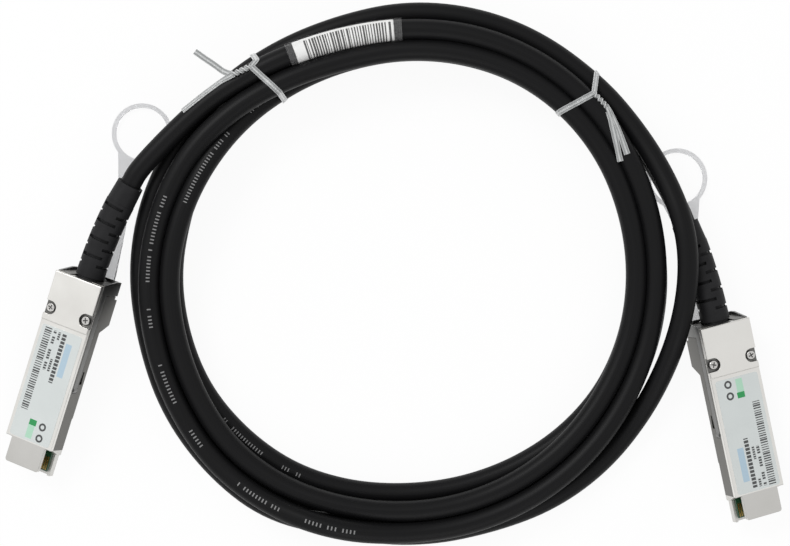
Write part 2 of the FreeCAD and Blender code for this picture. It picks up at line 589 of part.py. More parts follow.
# ---- Pull tab: riveted under the slider's plate, twisted down to lie flat on the table ---
def pull_tab(plug):
    place = plug_placement(plug)
    top = slider_floor_top() - SLIDER_THICKNESS
    bottom = top - TAB_THICKNESS
    half = TAB_ROOT_WIDTH / 2
    root = box(-TAB_ROOT_REAR, SLIDER_FRONT, -half, half, bottom, top)
    rivet = rod(RIVET_RADIUS, SLIDER_THICKNESS + 0.2, (0, RIVET_SPACING / 2, top - 0.2), (0, 0, 1))
    root = placed(joined([root] + mirrored(rivet)), place)
    corners = [(-half, top), (half, top), (half, bottom), (-half, bottom)]
    first = [place.multVec(Vector(-TAB_ROOT_REAR, y, z)) for y, z in corners]
    start = (first[0] + first[1] + first[2] + first[3]) * 0.25
    back = tab_back(plug)
    across = Vector(0, 0, 1).cross(back) * -1
    level = TAB_LIFT + TAB_THICKNESS / 2
    sections = [first]
    for i in range(1, TAB_STATIONS + 1):
        t = i / TAB_STATIONS
        ease = t * t * (3 - 2 * t)
        roll = math.radians(plug["roll"]) * (1 - ease)
        side = across * math.cos(roll) + Vector(0, 0, math.sin(roll))
        up = side.cross(back) * -1
        centre = Vector(start.x, start.y, start.z + (level - start.z) * ease) + back * (TAB_TWIST_LENGTH * t)
        width = TAB_ROOT_WIDTH + (TAB_WAIST - TAB_ROOT_WIDTH) * t
        sections.append([centre + side * (sy * width / 2) + up * (sz * TAB_THICKNESS / 2)
                         for sy, sz in ((-1, 1), (1, 1), (1, -1), (-1, -1))])
    strap = Part.makeLoft([Part.makePolygon(c + [c[0]]) for c in sections], True, True)
    return joined([root, strap, tab_ring(plug, start, back, across)])


def tab_back(plug):
    """Level direction in which the tab runs, away from the connector's nose."""
    heading = math.radians(plug["heading"])
    return Vector(-math.cos(heading), -math.sin(heading), 0)


def ring_place(plug):
    """Centre of the finger ring, at the underside of the tab."""
    start = plug_placement(plug).multVec(Vector(0, 0, slider_floor_top() - SLIDER_THICKNESS))
    back = tab_back(plug)
    centre = start + back * plug["ring_reach"] + Vector(back.y, -back.x, 0) * plug["ring_swing"]
    return Vector(centre.x, centre.y, TAB_LIFT)


def tab_ring(plug, start, back, across):
    """The flat end of the tab: a narrow waist, a neck that flares and the ring."""
    centre = ring_place(plug)
    waist = Vector(start.x, start.y, TAB_LIFT) + back * TAB_TWIST_LENGTH
    run = (centre - waist).normalize()
    side = Vector(0, 0, 1).cross(run) * -1
    reach = (centre - waist).Length
    stations = [(reach - NECK_FROM_RING, TAB_NECK), (reach - FLARE_FROM_RING, TAB_FLARE)]
    waist_half, right, left = across * (TAB_WAIST / 2), [], []
    for along, width in stations:
        middle = waist + run * along
        right.append(middle + side * (width / 2))
        left.insert(0, middle - side * (width / 2))
    outline = [waist + waist_half] + right + left + [waist - waist_half]
    plate = Part.Face(Part.makePolygon(outline + [outline[0]])).extrude(Vector(0, 0, TAB_THICKNESS))
    up = Vector(0, 0, 1)
    disc = Part.makeCylinder(RING_RADIUS, TAB_THICKNESS, centre, up)
    hole = Part.makeCylinder(RING_RADIUS - RING_BAND, TAB_THICKNESS + 2, centre - up, up)
    return plate.fuse(disc).cut(hole)


# ---- Cable ------------------------------------------------------------------------------
def clock(angle, radius, height):
    """A point on the coil: degrees clockwise from the top, distance from its centre, height."""
    turn = math.radians(angle)
    return COIL_CENTRE + ORIGIN_SHIFT + Vector(radius * math.sin(turn), radius * math.cos(turn), height)


def bent_route(points, name):
    """Straight runs joined by tangent arcs, each as large as its two runs allow."""
    edges, at, radii = [], points[0], []
    for before, corner, after in zip(points, points[1:], points[2:]):
        back, ahead = before - corner, after - corner
        half_turn = (math.pi - back.getAngle(ahead)) / 2
        reach = 0.45 * min(back.Length, ahead.Length)
        radius = reach / math.tan(half_turn)
        radii.append(round(radius, 1))
        back.normalize()
        ahead.normalize()
        first, last = corner + back * reach, corner + ahead * reach
        inward = (back + ahead).normalize()
        middle = corner + inward * (radius / math.cos(half_turn) - radius)
        edges += [Part.LineSegment(at, first).toShape(), Part.Arc(first, middle, last).toShape()]
        at = last
    edges.append(Part.LineSegment(at, points[-1]).toShape())
    print(name, "bend radii", radii)
    return edges


def tube(edges, name):
    path = Part.Wire(edges)
    start = edges[0]
    heading = start.tangentAt(start.FirstParameter)
    ring = Part.Wire(Part.makeCircle(CABLE_RADIUS, start.valueAt(start.FirstParameter), heading))
    solid = path.makePipeShell([ring], True, False)
    ideal = math.pi * CABLE_RADIUS ** 2 * path.Length
    print(f"{name}: {path.Length:.1f} mm long, volume {solid.Volume:.0f} of {ideal:.0f} mm3")
    return solid


def cable_tail(name, plug):
    """From the ferrule through the boot's bent bore, then by its own route into the coil."""
    place = plug_placement(plug)
    bend = plug["bend"]
    straight_from = BOOT_LENGTH - TAIL_STRAIGHT
    at = [place.multVec(boot_frame(s, bend)[0]) for s in (0, straight_from / 2, straight_from)]
    inner = place.multVec(Vector(FERRULE_FRONT, 0, -CABLE_DEPTH))
    end = place.multVec(boot_frame(BOOT_LENGTH, bend)[0])
    heading = place.Rotation.multVec(boot_frame(straight_from, bend)[1])
    print("boot", name, "ends at", [round(v, 1) for v in end - ORIGIN_SHIFT], "heading", [round(v, 2) for v in heading])
    route = [at[2], at[2] + heading * (2 * TAIL_STRAIGHT)] + [clock(*p) for p in TAIL_ROUTE[name]]
    inside = [Part.LineSegment(inner, at[0]).toShape(), Part.Arc(*at).toShape()]
    return tube(inside + bent_route(route, "tail " + name), "tail " + name)


def bundle_section(centres):
    """Outline of strands that lie together: their round sides, with the valleys between them filled."""
    middle = sum((Vector(r, 0, z) for r, z in centres), Vector()) * (1 / len(centres))
    edges, arcs = [], {}
    count = len(centres)
    for i in range(count):
        here, after = (Vector(centres[j % count][0], 0, centres[j % count][1]) for j in (i, i + 1))
        along = (after - here).normalize()
        out = Vector(along.z, 0, -along.x)
        if out.dot((here + after) * 0.5 - middle) < 0:
            out = out * -1
        touching = (after - here).Length < 2.2 * CABLE_RADIUS
        tilt = math.radians(VALLEY_ANGLE if touching else 0)
        leave = here + (out * math.cos(tilt) + along * math.sin(tilt)) * CABLE_RADIUS
        arrive = after + (out * math.cos(tilt) - along * math.sin(tilt)) * CABLE_RADIUS
        edges.append(Part.LineSegment(leave, arrive).toShape())
        arcs.setdefault(i, {}).update(end=leave, out_after=out)
        arcs.setdefault((i + 1) % count, {}).update(start=arrive, out_before=out)
    for i, arc in arcs.items():
        outward = (arc["out_before"] + arc["out_after"]).normalize()
        crown = Vector(centres[i][0], 0, centres[i][1]) + outward * CABLE_RADIUS
        edges += chords(Part.Arc(arc["start"], crown, arc["end"]).toShape())
    return Part.Face(Part.Wire(Part.sortEdges(edges)[0]))


def swept_round(face, start, end):
    """A section in the XZ plane turned about the coil's axis, between two clock angles."""
    lead = Placement(COIL_CENTRE + ORIGIN_SHIFT, Rotation(Vector(0, 0, 1), 90 - end))
    turned = face.copy()
    turned.Placement = lead
    return turned.revolve(COIL_CENTRE + ORIGIN_SHIFT, Vector(0, 0, 1), (end - start) % 360)


def cable_coil():
    tied = swept_round(bundle_section(TIED_STRANDS), TIED_FROM, TIED_TO)
    opened = swept_round(bundle_section(OPEN_STRANDS), TIED_TO, OPEN_TO)
    loose = swept_round(bundle_section(LOOSE_STRANDS), OPEN_TO, TIED_FROM)
    return tied.fuse([opened, loose])


# ---- Marker sleeve with its paper, and the twist ties ------------------------------------
def sector_face(outer, inner, start, end):
    """Part of a flat ring round the sleeve's centre, between two angles from straight up."""
    radius, height = SLEEVE_PLACE
    points = []
    for r in (outer, inner):
        for a in (start, (start + end) / 2, end):
            turn = math.radians(a)
            points.append(Vector(radius + r * math.sin(turn), 0, height + r * math.cos(turn)))
    edges = chords(Part.Arc(*points[:3]).toShape()) + chords(Part.Arc(*points[3:]).toShape())
    edges += [Part.LineSegment(points[2], points[5]).toShape(), Part.LineSegment(points[3], points[0]).toShape()]
    return Part.Face(Part.Wire(Part.sortEdges(edges)[0]))


def marker_sleeve():
    radius, height = SLEEVE_PLACE
    rings = [Part.Face(Part.Wire(chords(Part.makeCircle(r, Vector(radius, 0, height), Vector(0, 1, 0)))))
             for r in (SLEEVE_RADIUS, SLEEVE_RADIUS - SLEEVE_WALL)]
    return swept_round(rings[0].cut(rings[1]).Faces[0], SLEEVE_FROM, SLEEVE_TO)


def marker_paper():
    outer = CABLE_RADIUS + 0.05 + PAPER_THICKNESS
    margin = math.degrees(PAPER_MARGIN / SLEEVE_PLACE[0])
    face = sector_face(outer, outer - PAPER_THICKNESS, *PAPER_SPAN)
    return swept_round(face, SLEEVE_FROM + margin, SLEEVE_TO - margin)


def tie_band(angle):
    """The closed loop of a twist tie, taut round the bundle."""
    corners = [Vector(r, 0, z) for r, z in TIED_STRANDS]
    core = Part.Face(Part.makePolygon(corners + [corners[0]]))
    inner = core.makeOffset2D(CABLE_RADIUS + TIE_CLEARANCE)
    outer = core.makeOffset2D(CABLE_RADIUS + TIE_CLEARANCE + TIE_THICKNESS)
    band = outer.cut(inner).Faces[0].extrude(Vector(0, TIE_WIDTH, 0))
    band.translate(Vector(0, -TIE_WIDTH / 2, 0))
    band.Placement = Placement(COIL_CENTRE + ORIGIN_SHIFT, Rotation(Vector(0, 0, 1), 90 - angle)).multiply(band.Placement)
    return band


def twist_tie(name):
    angle = TIE_ANGLES[name]
    knot, fork, ends = TIE_ENDS[name]
    knot, fork = clock(*knot), clock(*fork)
    stem = Part.makeCylinder(TIE_STEM_RADIUS, (fork - knot).Length, knot, fork - knot)
    stem = stem.fuse(Part.makeSphere(TIE_STEM_RADIUS, fork))
    strips = []
    for end in ends:
        tip = clock(*end)
        run = (tip - fork).normalize()
        across = Vector(0, 0, 1).cross(run).normalize() * (TIE_WIDTH / 2)
        up = run.cross(across).normalize() * (TIE_THICKNESS / 2)
        corners = [fork + across - up, fork - across - up, fork - across + up, fork + across + up]
        strips.append(Part.Face(Part.makePolygon(corners + [corners[0]])).extrude(tip - fork))
    return joined([tie_band(angle), stem] + strips)


def write(name, shape):
    solids = [solid for solid in shape.Solids if solid.Volume > 1e-3]
    whole = solids[0] if len(solids) == 1 else Part.makeCompound(solids)
    if not whole.isValid():
        print("not valid:", name)
    whole.exportStep("parts/" + name + ".step")
    box_ = whole.BoundBox
    print(f"{name}: {len(solids)} solid(s), {sum(s.Volume for s in solids):.1f} mm3, "
          f"z {box_.ZMin:.2f} to {box_.ZMax:.2f}")


def main():
    os.makedirs("parts", exist_ok=True)
    for name, plug in PLUGS.items():
        place = plug_placement(plug)
        pieces = {
            "lower_shell": lower_shell(), "cover_shell": cover_shell(), "cover_screws": cover_screws(),
            "paddle_card": paddle_card(), "edge_contacts": edge_contacts(), "solder_potting": solder_potting(),
            "conductor_pairs": conductor_pairs(), "crimp_ferrule": crimp_ferrule(),
            "latch_slider": latch_slider(), "return_springs": return_springs(),
            "strain_relief": strain_relief(plug["bend"]), "label": label(),
        }
        for piece, shape in pieces.items():
            write(f"{piece}_{name}", placed(shape, place))
        write("pull_tab_" + name, pull_tab(plug))
        write("cable_tail_" + name, cable_tail(name, plug))
    write("cable_coil", cable_coil())
    write("cable_outer_turn", tube(bent_route([clock(*p) for p in OUTER_TURN], "outer turn"), "outer turn"))
    write("marker_sleeve", marker_sleeve())
    write("marker_paper", marker_paper())
    for name in TIE_ANGLES:
        write(name, twist_tie(name))


main()
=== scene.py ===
# %% [markdown]
# # A coiled direct attach cable
# This lesson dresses a packed model of a network cable. The model has a metal connector at each
# end, with a sprung latch and a ring pull tab, and about three metres of round black cable that
# is coiled and held with two twist ties. The packed solids give every place and size. Here the
# camera and the lights are set, the soft pieces are modelled again as what they are, and every
# surface gets a finish of its own.

# %% Load the packed model
import bpy
import math
from mathutils import Matrix, Vector


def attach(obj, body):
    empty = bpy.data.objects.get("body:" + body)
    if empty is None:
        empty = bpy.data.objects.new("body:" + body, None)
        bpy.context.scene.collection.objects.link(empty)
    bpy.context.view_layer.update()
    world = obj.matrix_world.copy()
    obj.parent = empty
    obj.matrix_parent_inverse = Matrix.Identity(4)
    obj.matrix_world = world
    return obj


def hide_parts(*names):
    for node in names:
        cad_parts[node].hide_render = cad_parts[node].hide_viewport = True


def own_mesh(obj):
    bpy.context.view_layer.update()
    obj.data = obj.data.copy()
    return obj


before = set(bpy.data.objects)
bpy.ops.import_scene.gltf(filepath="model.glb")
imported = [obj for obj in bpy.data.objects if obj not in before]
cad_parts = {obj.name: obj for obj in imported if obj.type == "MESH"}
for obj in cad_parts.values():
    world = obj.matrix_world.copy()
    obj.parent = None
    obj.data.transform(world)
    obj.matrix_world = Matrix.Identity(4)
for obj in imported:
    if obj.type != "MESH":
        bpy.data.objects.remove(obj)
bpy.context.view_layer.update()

print("nodes:", len(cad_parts))

# %% [markdown]
# ## Stage
# The cable lies on a white table and is seen from straight above, through a long lens, so the
# heights hardly change the outline. A lens of 99 mm, three quarters of a metre up, gives that.

# %% Camera
MM = 0.001
# The point of the table under the camera, and the camera's height in metres.
MIDDLE = Vector((0.25, 13.33, 0.0)) * MM
CAMERA_HEIGHT = 0.75
# The sensor's width and the lens, in millimetres.
SENSOR_WIDTH = 36.0
LENS = 99.1


def clear_selection():
    """Deselects everything, because an operator acts on all that is selected."""
    bpy.ops.object.select_all(action="DESELECT")


def select_only(*pieces):
    """Selects some objects and nothing else. The first is the active one."""
    clear_selection()
    for piece in pieces:
        piece.select_set(True)
    bpy.context.view_layer.objects.active = pieces[0]


clear_selection()
bpy.ops.object.camera_add(location=MIDDLE + Vector((0.0, 0.0, CAMERA_HEIGHT)), rotation=(0.0, 0.0, 0.0))
camera = bpy.context.object
camera.name = "overhead_camera"
camera.data.sensor_width = SENSOR_WIDTH
camera.data.lens = LENS
camera.data.clip_start = 0.05
bpy.context.scene.camera = camera
bpy.context.scene.view_settings.view_transform = "Standard"
print("camera looks straight down from", tuple(round(v, 3) for v in camera.location))

# %% [markdown]
# ## Cable
# The real cable is one length of stiff round jacket. It leaves the left boot, winds clockwise
# five times and nearly a half, and goes into the right boot. A spline through listed
# points gives one smooth line, so the cable is a single curve with a round section. The turns
# are tables of distance from the coil's centre and height, at every fifteen degrees, and the
# stretches that fan out or leave the coil have a clock angle of their own for each point.

# %% Route of the cable
COIL = MIDDLE + Vector((3.4, 0.3, 0.0)) * MM
CABLE_RADIUS = 3.6 * MM
# Points on the axis of each boot, from its root to where the cable leaves it, in millimetres.
BOOT_AXIS = {
    "a": [(-97.29, 27.97, 12.09), (-93.4, 35.9, 13.22), (-89.21, 43.29, 14.5)],
    "b": [(104.77, 13.79, 10.71), (102.0, 22.3, 10.74), (98.82, 30.24, 10.51)],
}
# Clock angle, then distance from the coil's centre and height in millimetres.
TAIL_A = [(301.0, 91.2, 16.7), (311.5, 87.9, 17.6), (320.5, 85.0, 18.2)]
TAIL_B = [(46.5, 87.6, 5.1), (54.5, 90.2, 5.4), (64.0, 92.6, 7.2)]
LOOSE_OUTER = [
    (46.0, 91.1, 12.0), (58.0, 91.8, 13.2), (69.0, 93.4, 15.8), (79.5, 95.2, 19.0),
    (88.5, 95.7, 18.6), (98.5, 95.2, 16.1), (109.0, 94.8, 10.2), (121.0, 94.5, 5.1),
    (134.0, 94.2, 3.65), (147.0, 93.0, 3.65), (160.0, 91.0, 3.65),
]
# Two runs of turns: where each starts, then distance and height at every step of the clock.
TURN_STEP = 15
TURNS = [
    (330, [
        (83.3, 18.8), (81.8, 18.0), (82.2, 17.8), (83.5, 17.7), (84.4, 17.6), (84.9, 17.6),
        (85.0, 17.9), (85.2, 17.2), (85.8, 13.9), (86.4, 11.1), (87.0, 10.8), (87.9, 10.7),
        (88.5, 10.8), (88.9, 10.7), (89.2, 11.7), (90.3, 16.9), (91.7, 13.1), (92.0, 10.7),
        (90.2, 12.2), (88.6, 13.4), (87.4, 14.6), (85.6, 16.4), (83.3, 18.4), (79.6, 19.3),
        (76.1, 18.6), (74.4, 17.6), (75.3, 17.6), (76.6, 17.6), (77.9, 17.7), (78.4, 17.7),
        (78.6, 17.7), (78.5, 16.9), (79.0, 13.7), (79.6, 11.1), (79.8, 10.8), (80.6, 10.7),
        (81.2, 10.7), (81.6, 10.7), (81.9, 11.5), (82.7, 12.0), (84.2, 10.8), (84.5, 10.7),
        (82.7, 11.6), (81.3, 12.6), (80.6, 13.6), (78.6, 15.9), (76.9, 16.8), (76.1, 12.2),
        (75.5, 6.6), (75.5, 4.9), (76.4, 4.8), (77.6, 5.1), (79.0, 5.1), (79.7, 5.2),
        (79.9, 5.2), (79.7, 5.0), (80.0, 4.3), (80.3, 3.7), (80.2, 3.65), (78.9, 3.65),
        (77.4, 3.65), (76.5, 3.65), (76.4, 3.65), (77.7, 3.65), (79.3, 3.65), (80.0, 3.65),
        (80.9, 3.65), (80.5, 3.65), (80.4, 3.7), (79.3, 5.2), (80.0, 9.8), (82.6, 12.7),
        (79.9, 12.4), (78.8, 11.3), (79.1, 11.3), (79.9, 11.3), (80.7, 11.3), (82.2, 11.3),
        (83.4, 11.2), (85.2, 9.8), (86.9, 6.7), (87.6, 3.9), (87.5, 3.65), (86.7, 3.65),
        (84.9, 3.65), (83.2, 3.65), (85.0, 4.5), (89.6, 9.9), (94.2, 6.3), (94.0, 3.7),
        (93.2, 3.65), (91.5, 3.65), (91.4, 5.3), (90.4, 9.1), (89.0, 9.8), (88.2, 8.3),
        (86.9, 10.4), (86.7, 11.5), (88.7, 11.4), (89.9, 11.3), (90.7, 11.3),
    ]),
    (175, [
        (90.8, 3.65), (90.8, 3.65), (88.0, 3.7), (87.4, 4.6), (86.8, 6.4), (86.2, 7.4),
        (86.0, 8.0), (85.4, 4.8), (82.7, 4.3), (82.0, 4.5), (83.2, 4.9), (83.7, 5.1),
        (84.2, 5.2), (85.2, 5.1),
    ]),
]
STRAIGHT_OFF_BOOT = 6.0


def clock(angle, radius, height):
    """A point of the coil: degrees clockwise from the top, distance and height in millimetres."""
    turn = math.radians(angle)
    return COIL + Vector((radius * math.sin(turn), radius * math.cos(turn), height)) * MM


def wound(start, table):
    """The points of a table of turns, from its first clock angle on."""
    return [clock(start + TURN_STEP * i, radius, height) for i, (radius, height) in enumerate(table)]


def beyond(axis, distance):
    """A point straight on from the end of a boot."""
    back, end = Vector(axis[-2]), Vector(axis[-1])
    return (end + (end - back).normalized() * distance) * MM


route = [Vector(p) * MM for p in BOOT_AXIS["a"]] + [beyond(BOOT_AXIS["a"], STRAIGHT_OFF_BOOT)]
route += [clock(*p) for p in TAIL_A]
route += wound(*TURNS[0]) + [clock(*p) for p in LOOSE_OUTER] + wound(*TURNS[1])
route += [clock(*p) for p in TAIL_B]
route += [beyond(BOOT_AXIS["b"], STRAIGHT_OFF_BOOT)] + [Vector(p) * MM for p in reversed(BOOT_AXIS["b"])]
print("route has", len(route), "points")

# %% [markdown]
# A NURBS spline of order three touches the middle of every run between two of its points, so it
# stays smooth with few of them. The thickness is set as each point's own radius, with a bevel
# of one metre, because Blender adds a point's radius to the curve's bounding box.

# %% Cable as one curve
ROOT = "cable_and_shells"


def spline_curve(name, points, radius, resolution):
    """A round NURBS curve. Its points carry its thickness."""
    data = bpy.data.curves.new(name, "CURVE")
    data.dimensions = "3D"
    data.twist_mode = "Z_UP"
    data.bevel_depth = 1.0
    data.bevel_resolution = resolution
    data.resolution_u = 8
    data.use_fill_caps = True
    spline = data.splines.new("NURBS")
    spline.points.add(len(points) - 1)
    for spot, p in zip(spline.points, points):
        spot.co = (*p, 1.0)
        spot.radius = radius
    spline.order_u = 3
    spline.use_endpoint_u = True
    piece = bpy.data.objects.new(name, data)
    bpy.context.scene.collection.objects.link(piece)
    return piece


def centreline(piece):
    """The points of a curve's own line, without its thickness."""
    bare = piece.copy()
    bare.data = piece.data.copy()
    bare.data.bevel_depth = 0.0
    bpy.context.scene.collection.objects.link(bare)
    mesh = bpy.data.meshes.new_from_object(bare)
    points = [v.co.copy() for v in mesh.vertices]
    bpy.data.objects.remove(bare)
    return points


cable = spline_curve("cable_run", route, CABLE_RADIUS, resolution=8)
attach(cable, ROOT)
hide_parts("cable_coil", "cable_tail_a", "cable_tail_b", "cable_outer_turn")
line = centreline(cable)
cable_length = sum((b - a).length for a, b in zip(line, line[1:]))
print("cable length", round(cable_length, 3), "m, points on its line", len(line))

# %% [markdown]
# The ties, the sleeve and the marks on the jacket are placed by a clock laid over the coil. The
# cable passes each hour five times or more, so the angle is counted on from turn to turn.

# %% Clock angles along the cable
def clock_angles(points):
    """The clock angle of each point, counted on through the turns."""
    angles = []
    for p in points:
        angle = math.degrees(math.atan2(p.x - COIL.x, p.y - COIL.y)) % 360
        angles.append(angle + 360 * round((angles[-1] - angle) / 360) if angles else angle)
    return angles


angles = clock_angles(line)
print("the line runs from", round(angles[0]), "to", round(angles[-1]), "degrees")

# %% [markdown]
# ## Twist ties
# Each tie is a plastic ribbon with a wire in its middle, laid once round all the turns, twisted
# shut on top, with two free ends. A flat section swept along a closed path makes the band. The
# band follows the outline of the strands it holds, found where the cable crosses the tie's own
# plane. The stem is the same ribbon, doubled and turned about itself. The free ends lie on the
# cable below them, so their heights come from the cable's own top.

# %% Section of the ribbon
def section_curve(name, corners):
    """A closed flat outline that a path carries along itself."""
    data = bpy.data.curves.new(name, "CURVE")
    data.dimensions = "2D"
    data.fill_mode = "NONE"
    outline = data.splines.new("POLY")
    outline.points.add(len(corners) - 1)
    for spot, (x, y) in zip(outline.points, corners):
        spot.co = (x * MM, y * MM, 0.0, 1.0)
    outline.use_cyclic_u = True
    piece = bpy.data.objects.new(name, data)
    bpy.context.scene.collection.objects.link(piece)
    return piece


def mirrored_outline(quarter):
    """An outline from one quarter of it."""
    half = quarter + [(-x, y) for x, y in reversed(quarter)]
    return half + [(-x, -y) for x, y in half]


single = section_curve("ribbon_section", mirrored_outline([
    (1.05, 0.05), (0.98, 0.2), (0.78, 0.2), (0.66, 0.1),
    (0.5, 0.1), (0.38, 0.25), (0.16, 0.25), (0.07, 0.13)]))
double = section_curve("twisted_section", mirrored_outline([
    (1.0, 0.2), (0.92, 0.42), (0.74, 0.42), (0.62, 0.34),
    (0.5, 0.34), (0.38, 0.5), (0.16, 0.5), (0.07, 0.36)]))
print("a section has", len(single.data.splines[0].points), "corners")

# %% Section carried along a path
SMOOTH_ANGLE = math.radians(50)


def swept(name, points, section, tilts, closed=False, twist="Z_UP"):
    """A section carried along a path, as a mesh whose U runs in metres along it."""
    data = bpy.data.curves.new(name, "CURVE")
    data.dimensions = "3D"
    data.twist_mode = twist
    data.resolution_u = 6
    data.bevel_mode = "OBJECT"
    data.bevel_object = section
    data.use_fill_caps = True
    path = data.splines.new("NURBS")
    path.points.add(len(points) - 1)
    for spot, p, tilt in zip(path.points, points, tilts):
        spot.co = (*p, 1.0)
        spot.tilt = tilt
    path.order_u = 3
    path.use_cyclic_u = closed
    path.use_endpoint_u = not closed
    piece = bpy.data.objects.new(name, data)
    bpy.context.scene.collection.objects.link(piece)
    select_only(piece)
    bpy.ops.object.convert(target="MESH")
    piece = bpy.context.object
    length = sum((b - a).length for a, b in zip(points, points[1:]))
    for corner in piece.data.uv_layers[0].data:
        corner.uv.x *= length
    select_only(piece)
    bpy.ops.object.shade_smooth_by_angle(angle=SMOOTH_ANGLE)
    return piece


print("edges under", round(math.degrees(SMOOTH_ANGLE)), "degrees are shaded smooth")

# %% [markdown]
# A tie has to fit the strands that it holds and rest on those that it crosses. Two questions
# answer that: where the cable passes through the tie's own plane, and how high the cable's
# upper side is under any point.

# %% Shape of the bundle
def crossings(angle):
    """Where the cable crosses a half plane from the coil's centre: distance and height."""
    found = []
    across = Vector((math.cos(math.radians(angle)), -math.sin(math.radians(angle))))
    outward = Vector((math.sin(math.radians(angle)), math.cos(math.radians(angle))))
    for a, b in zip(line, line[1:]):
        pa, pb = (a - COIL).to_2d(), (b - COIL).to_2d()
        da, db = pa.dot(across), pb.dot(across)
        if da * db <= 0 and da != db and pa.dot(outward) > 0:
            share = da / (da - db)
            found.append((pa.lerp(pb, share).dot(outward), a.z + (b.z - a.z) * share))
    return found


def top_of_cable(x, y):
    """Height of the cable's upper side under a point, or zero where there is none."""
    best = 0.0
    for p in line:
        off = (p.x - x) ** 2 + (p.y - y) ** 2
        if off < CABLE_RADIUS ** 2:
            best = max(best, p.z + math.sqrt(CABLE_RADIUS ** 2 - off))
    return best


print("highest side of the cable:", round(max(top_of_cable(*p.xy) for p in line) / MM, 1), "mm up")

# %% Places of the two ties
# Clock angle, where the stem starts and ends, and the two free ends. X and Y count from MIDDLE.
TIES = {
    "tie_1": (325.0, [(-48.2, 69.2), (-54.4, 66.4)],
              [[(-58.0, 64.6), (-63.5, 60.6), (-67.6, 57.4), (-71.4, 54.4)],
               [(-57.6, 67.6), (-60.8, 70.0), (-63.8, 72.0), (-67.2, 74.4)]]),
    "tie_2": (44.0, [(66.8, 60.3), (71.0, 55.8)],
              [[(72.2, 52.0), (73.4, 47.0), (74.6, 42.0), (75.6, 37.4)],
               [(73.0, 52.6), (74.8, 48.4), (76.4, 43.8), (77.8, 39.8)]]),
}
print("ties at the clock angles", [angle for angle, stem, ends in TIES.values()])

# %% [markdown]
# A free end is soft. It lies on whatever is below it, leans with the side of a strand, and
# bridges a groove between two strands without going down into it.

# %% Ribbon laid on the cable
# How high a ribbon lies over the cable, in millimetres, and half its width.
RIBBON_LIFT = 0.3
RIBBON_HALF = 1.0 * MM
# An end drops no farther than this below its stem, and a strand this far below bears nothing.
MOST_DROP = 2.5 * MM
# The steepest that a ribbon leans, as its rise over its run.
MOST_RISE = 0.9


def laid(points, lift, least=0.0):
    """Points in plan, raised to lie a little above the cable's top."""
    spots = [MIDDLE + Vector((x, y, 0.0)) * MM for x, y in points]
    return [Vector((p.x, p.y, max(top_of_cable(p.x, p.y) + lift * MM, least))) for p in spots]


def lean(path):
    """How far a ribbon leans at each point to lie flat on the strand below it. A point is raised
    where the leaning ribbon would still dip into a strand."""
    leans = []
    for i, p in enumerate(path):
        along = path[min(i + 1, len(path) - 1)] - path[max(i - 1, 0)]
        across = Vector((along.y, -along.x, 0.0)).normalized() * RIBBON_HALF
        heights = [(way, top_of_cable(*(p + across * way).xy)) for way in (1, 0.5, 0, -0.5, -1)]
        held = [(way, height) for way, height in heights if height > p.z - MOST_DROP]
        rise = 0.0
        if len(held) > 1:
            rise = (held[-1][1] - held[0][1]) / (held[0][0] - held[-1][0]) / RIBBON_HALF
        rise = max(-MOST_RISE, min(MOST_RISE, rise))
        leans.append(math.atan(rise))
        needed = [height + way * RIBBON_HALF * rise + RIBBON_LIFT * MM for way, height in heights]
        p.z = max(p.z, *needed)
    return leans


def taut(a, b, steps=6):
    """Points between two others, never below the cable's top."""
    points = [a.lerp(b, i / steps) for i in range(1, steps)]
    for p in points:
        p.z = max(p.z, top_of_cable(p.x, p.y) + RIBBON_LIFT * MM)
    return points


def free_end(name, plan, stem_end, fork):
    """One end of the ribbon, from the stem down on to the cable."""
    between = [((ax + bx) / 2, (ay + by) / 2) for (ax, ay), (bx, by) in zip(plan, plan[1:])]
    closer = [plan[0]] + [p for pair in zip(between, plan[1:]) for p in pair]
    path = laid(closer, RIBBON_LIFT, fork.z - MOST_DROP)
    leans = lean(path)
    return swept(name, [stem_end, fork] + path, single, [0.0, 0.0] + leans)


print("a ribbon lies", RIBBON_LIFT, "mm over the cable and leans up to",
      round(math.degrees(math.atan(MOST_RISE))), "degrees")

# %% [markdown]
# The band goes under the bundle and round its sides as a tight string would: at every direction
# it touches the strand that reaches farthest that way. Over the top it runs straight to the
# knot, where the stem begins.

# %% Two ties
# How far the band stands off the strands and the stem off the cable, in millimetres.
BAND_CLEARANCE = 0.25
STEM_LIFT = 0.8
# The band's way round the bundle in degrees, where 0 points outwards and 90 up, and its steps.
BAND_FROM, BAND_SWEEP, BAND_STEPS = 140, 260, 30
# The stem's steps, and how far it turns at each.
STEM_STEPS, STEM_TWIST = 12, math.pi / 3


def band(angle):
    """The path round the outside of the bundle, open at the top."""
    strands = crossings(angle)
    reach = CABLE_RADIUS / MM + BAND_CLEARANCE
    path = []
    for i in range(BAND_STEPS + 1):
        way = math.radians(BAND_FROM + BAND_SWEEP * i / BAND_STEPS)
        side = (math.cos(way), math.sin(way))
        r, z = max(strands, key=lambda s: s[0] * side[0] + s[1] * side[1])
        path.append(clock(angle, r / MM + reach * side[0], z / MM + reach * side[1]))
    return path


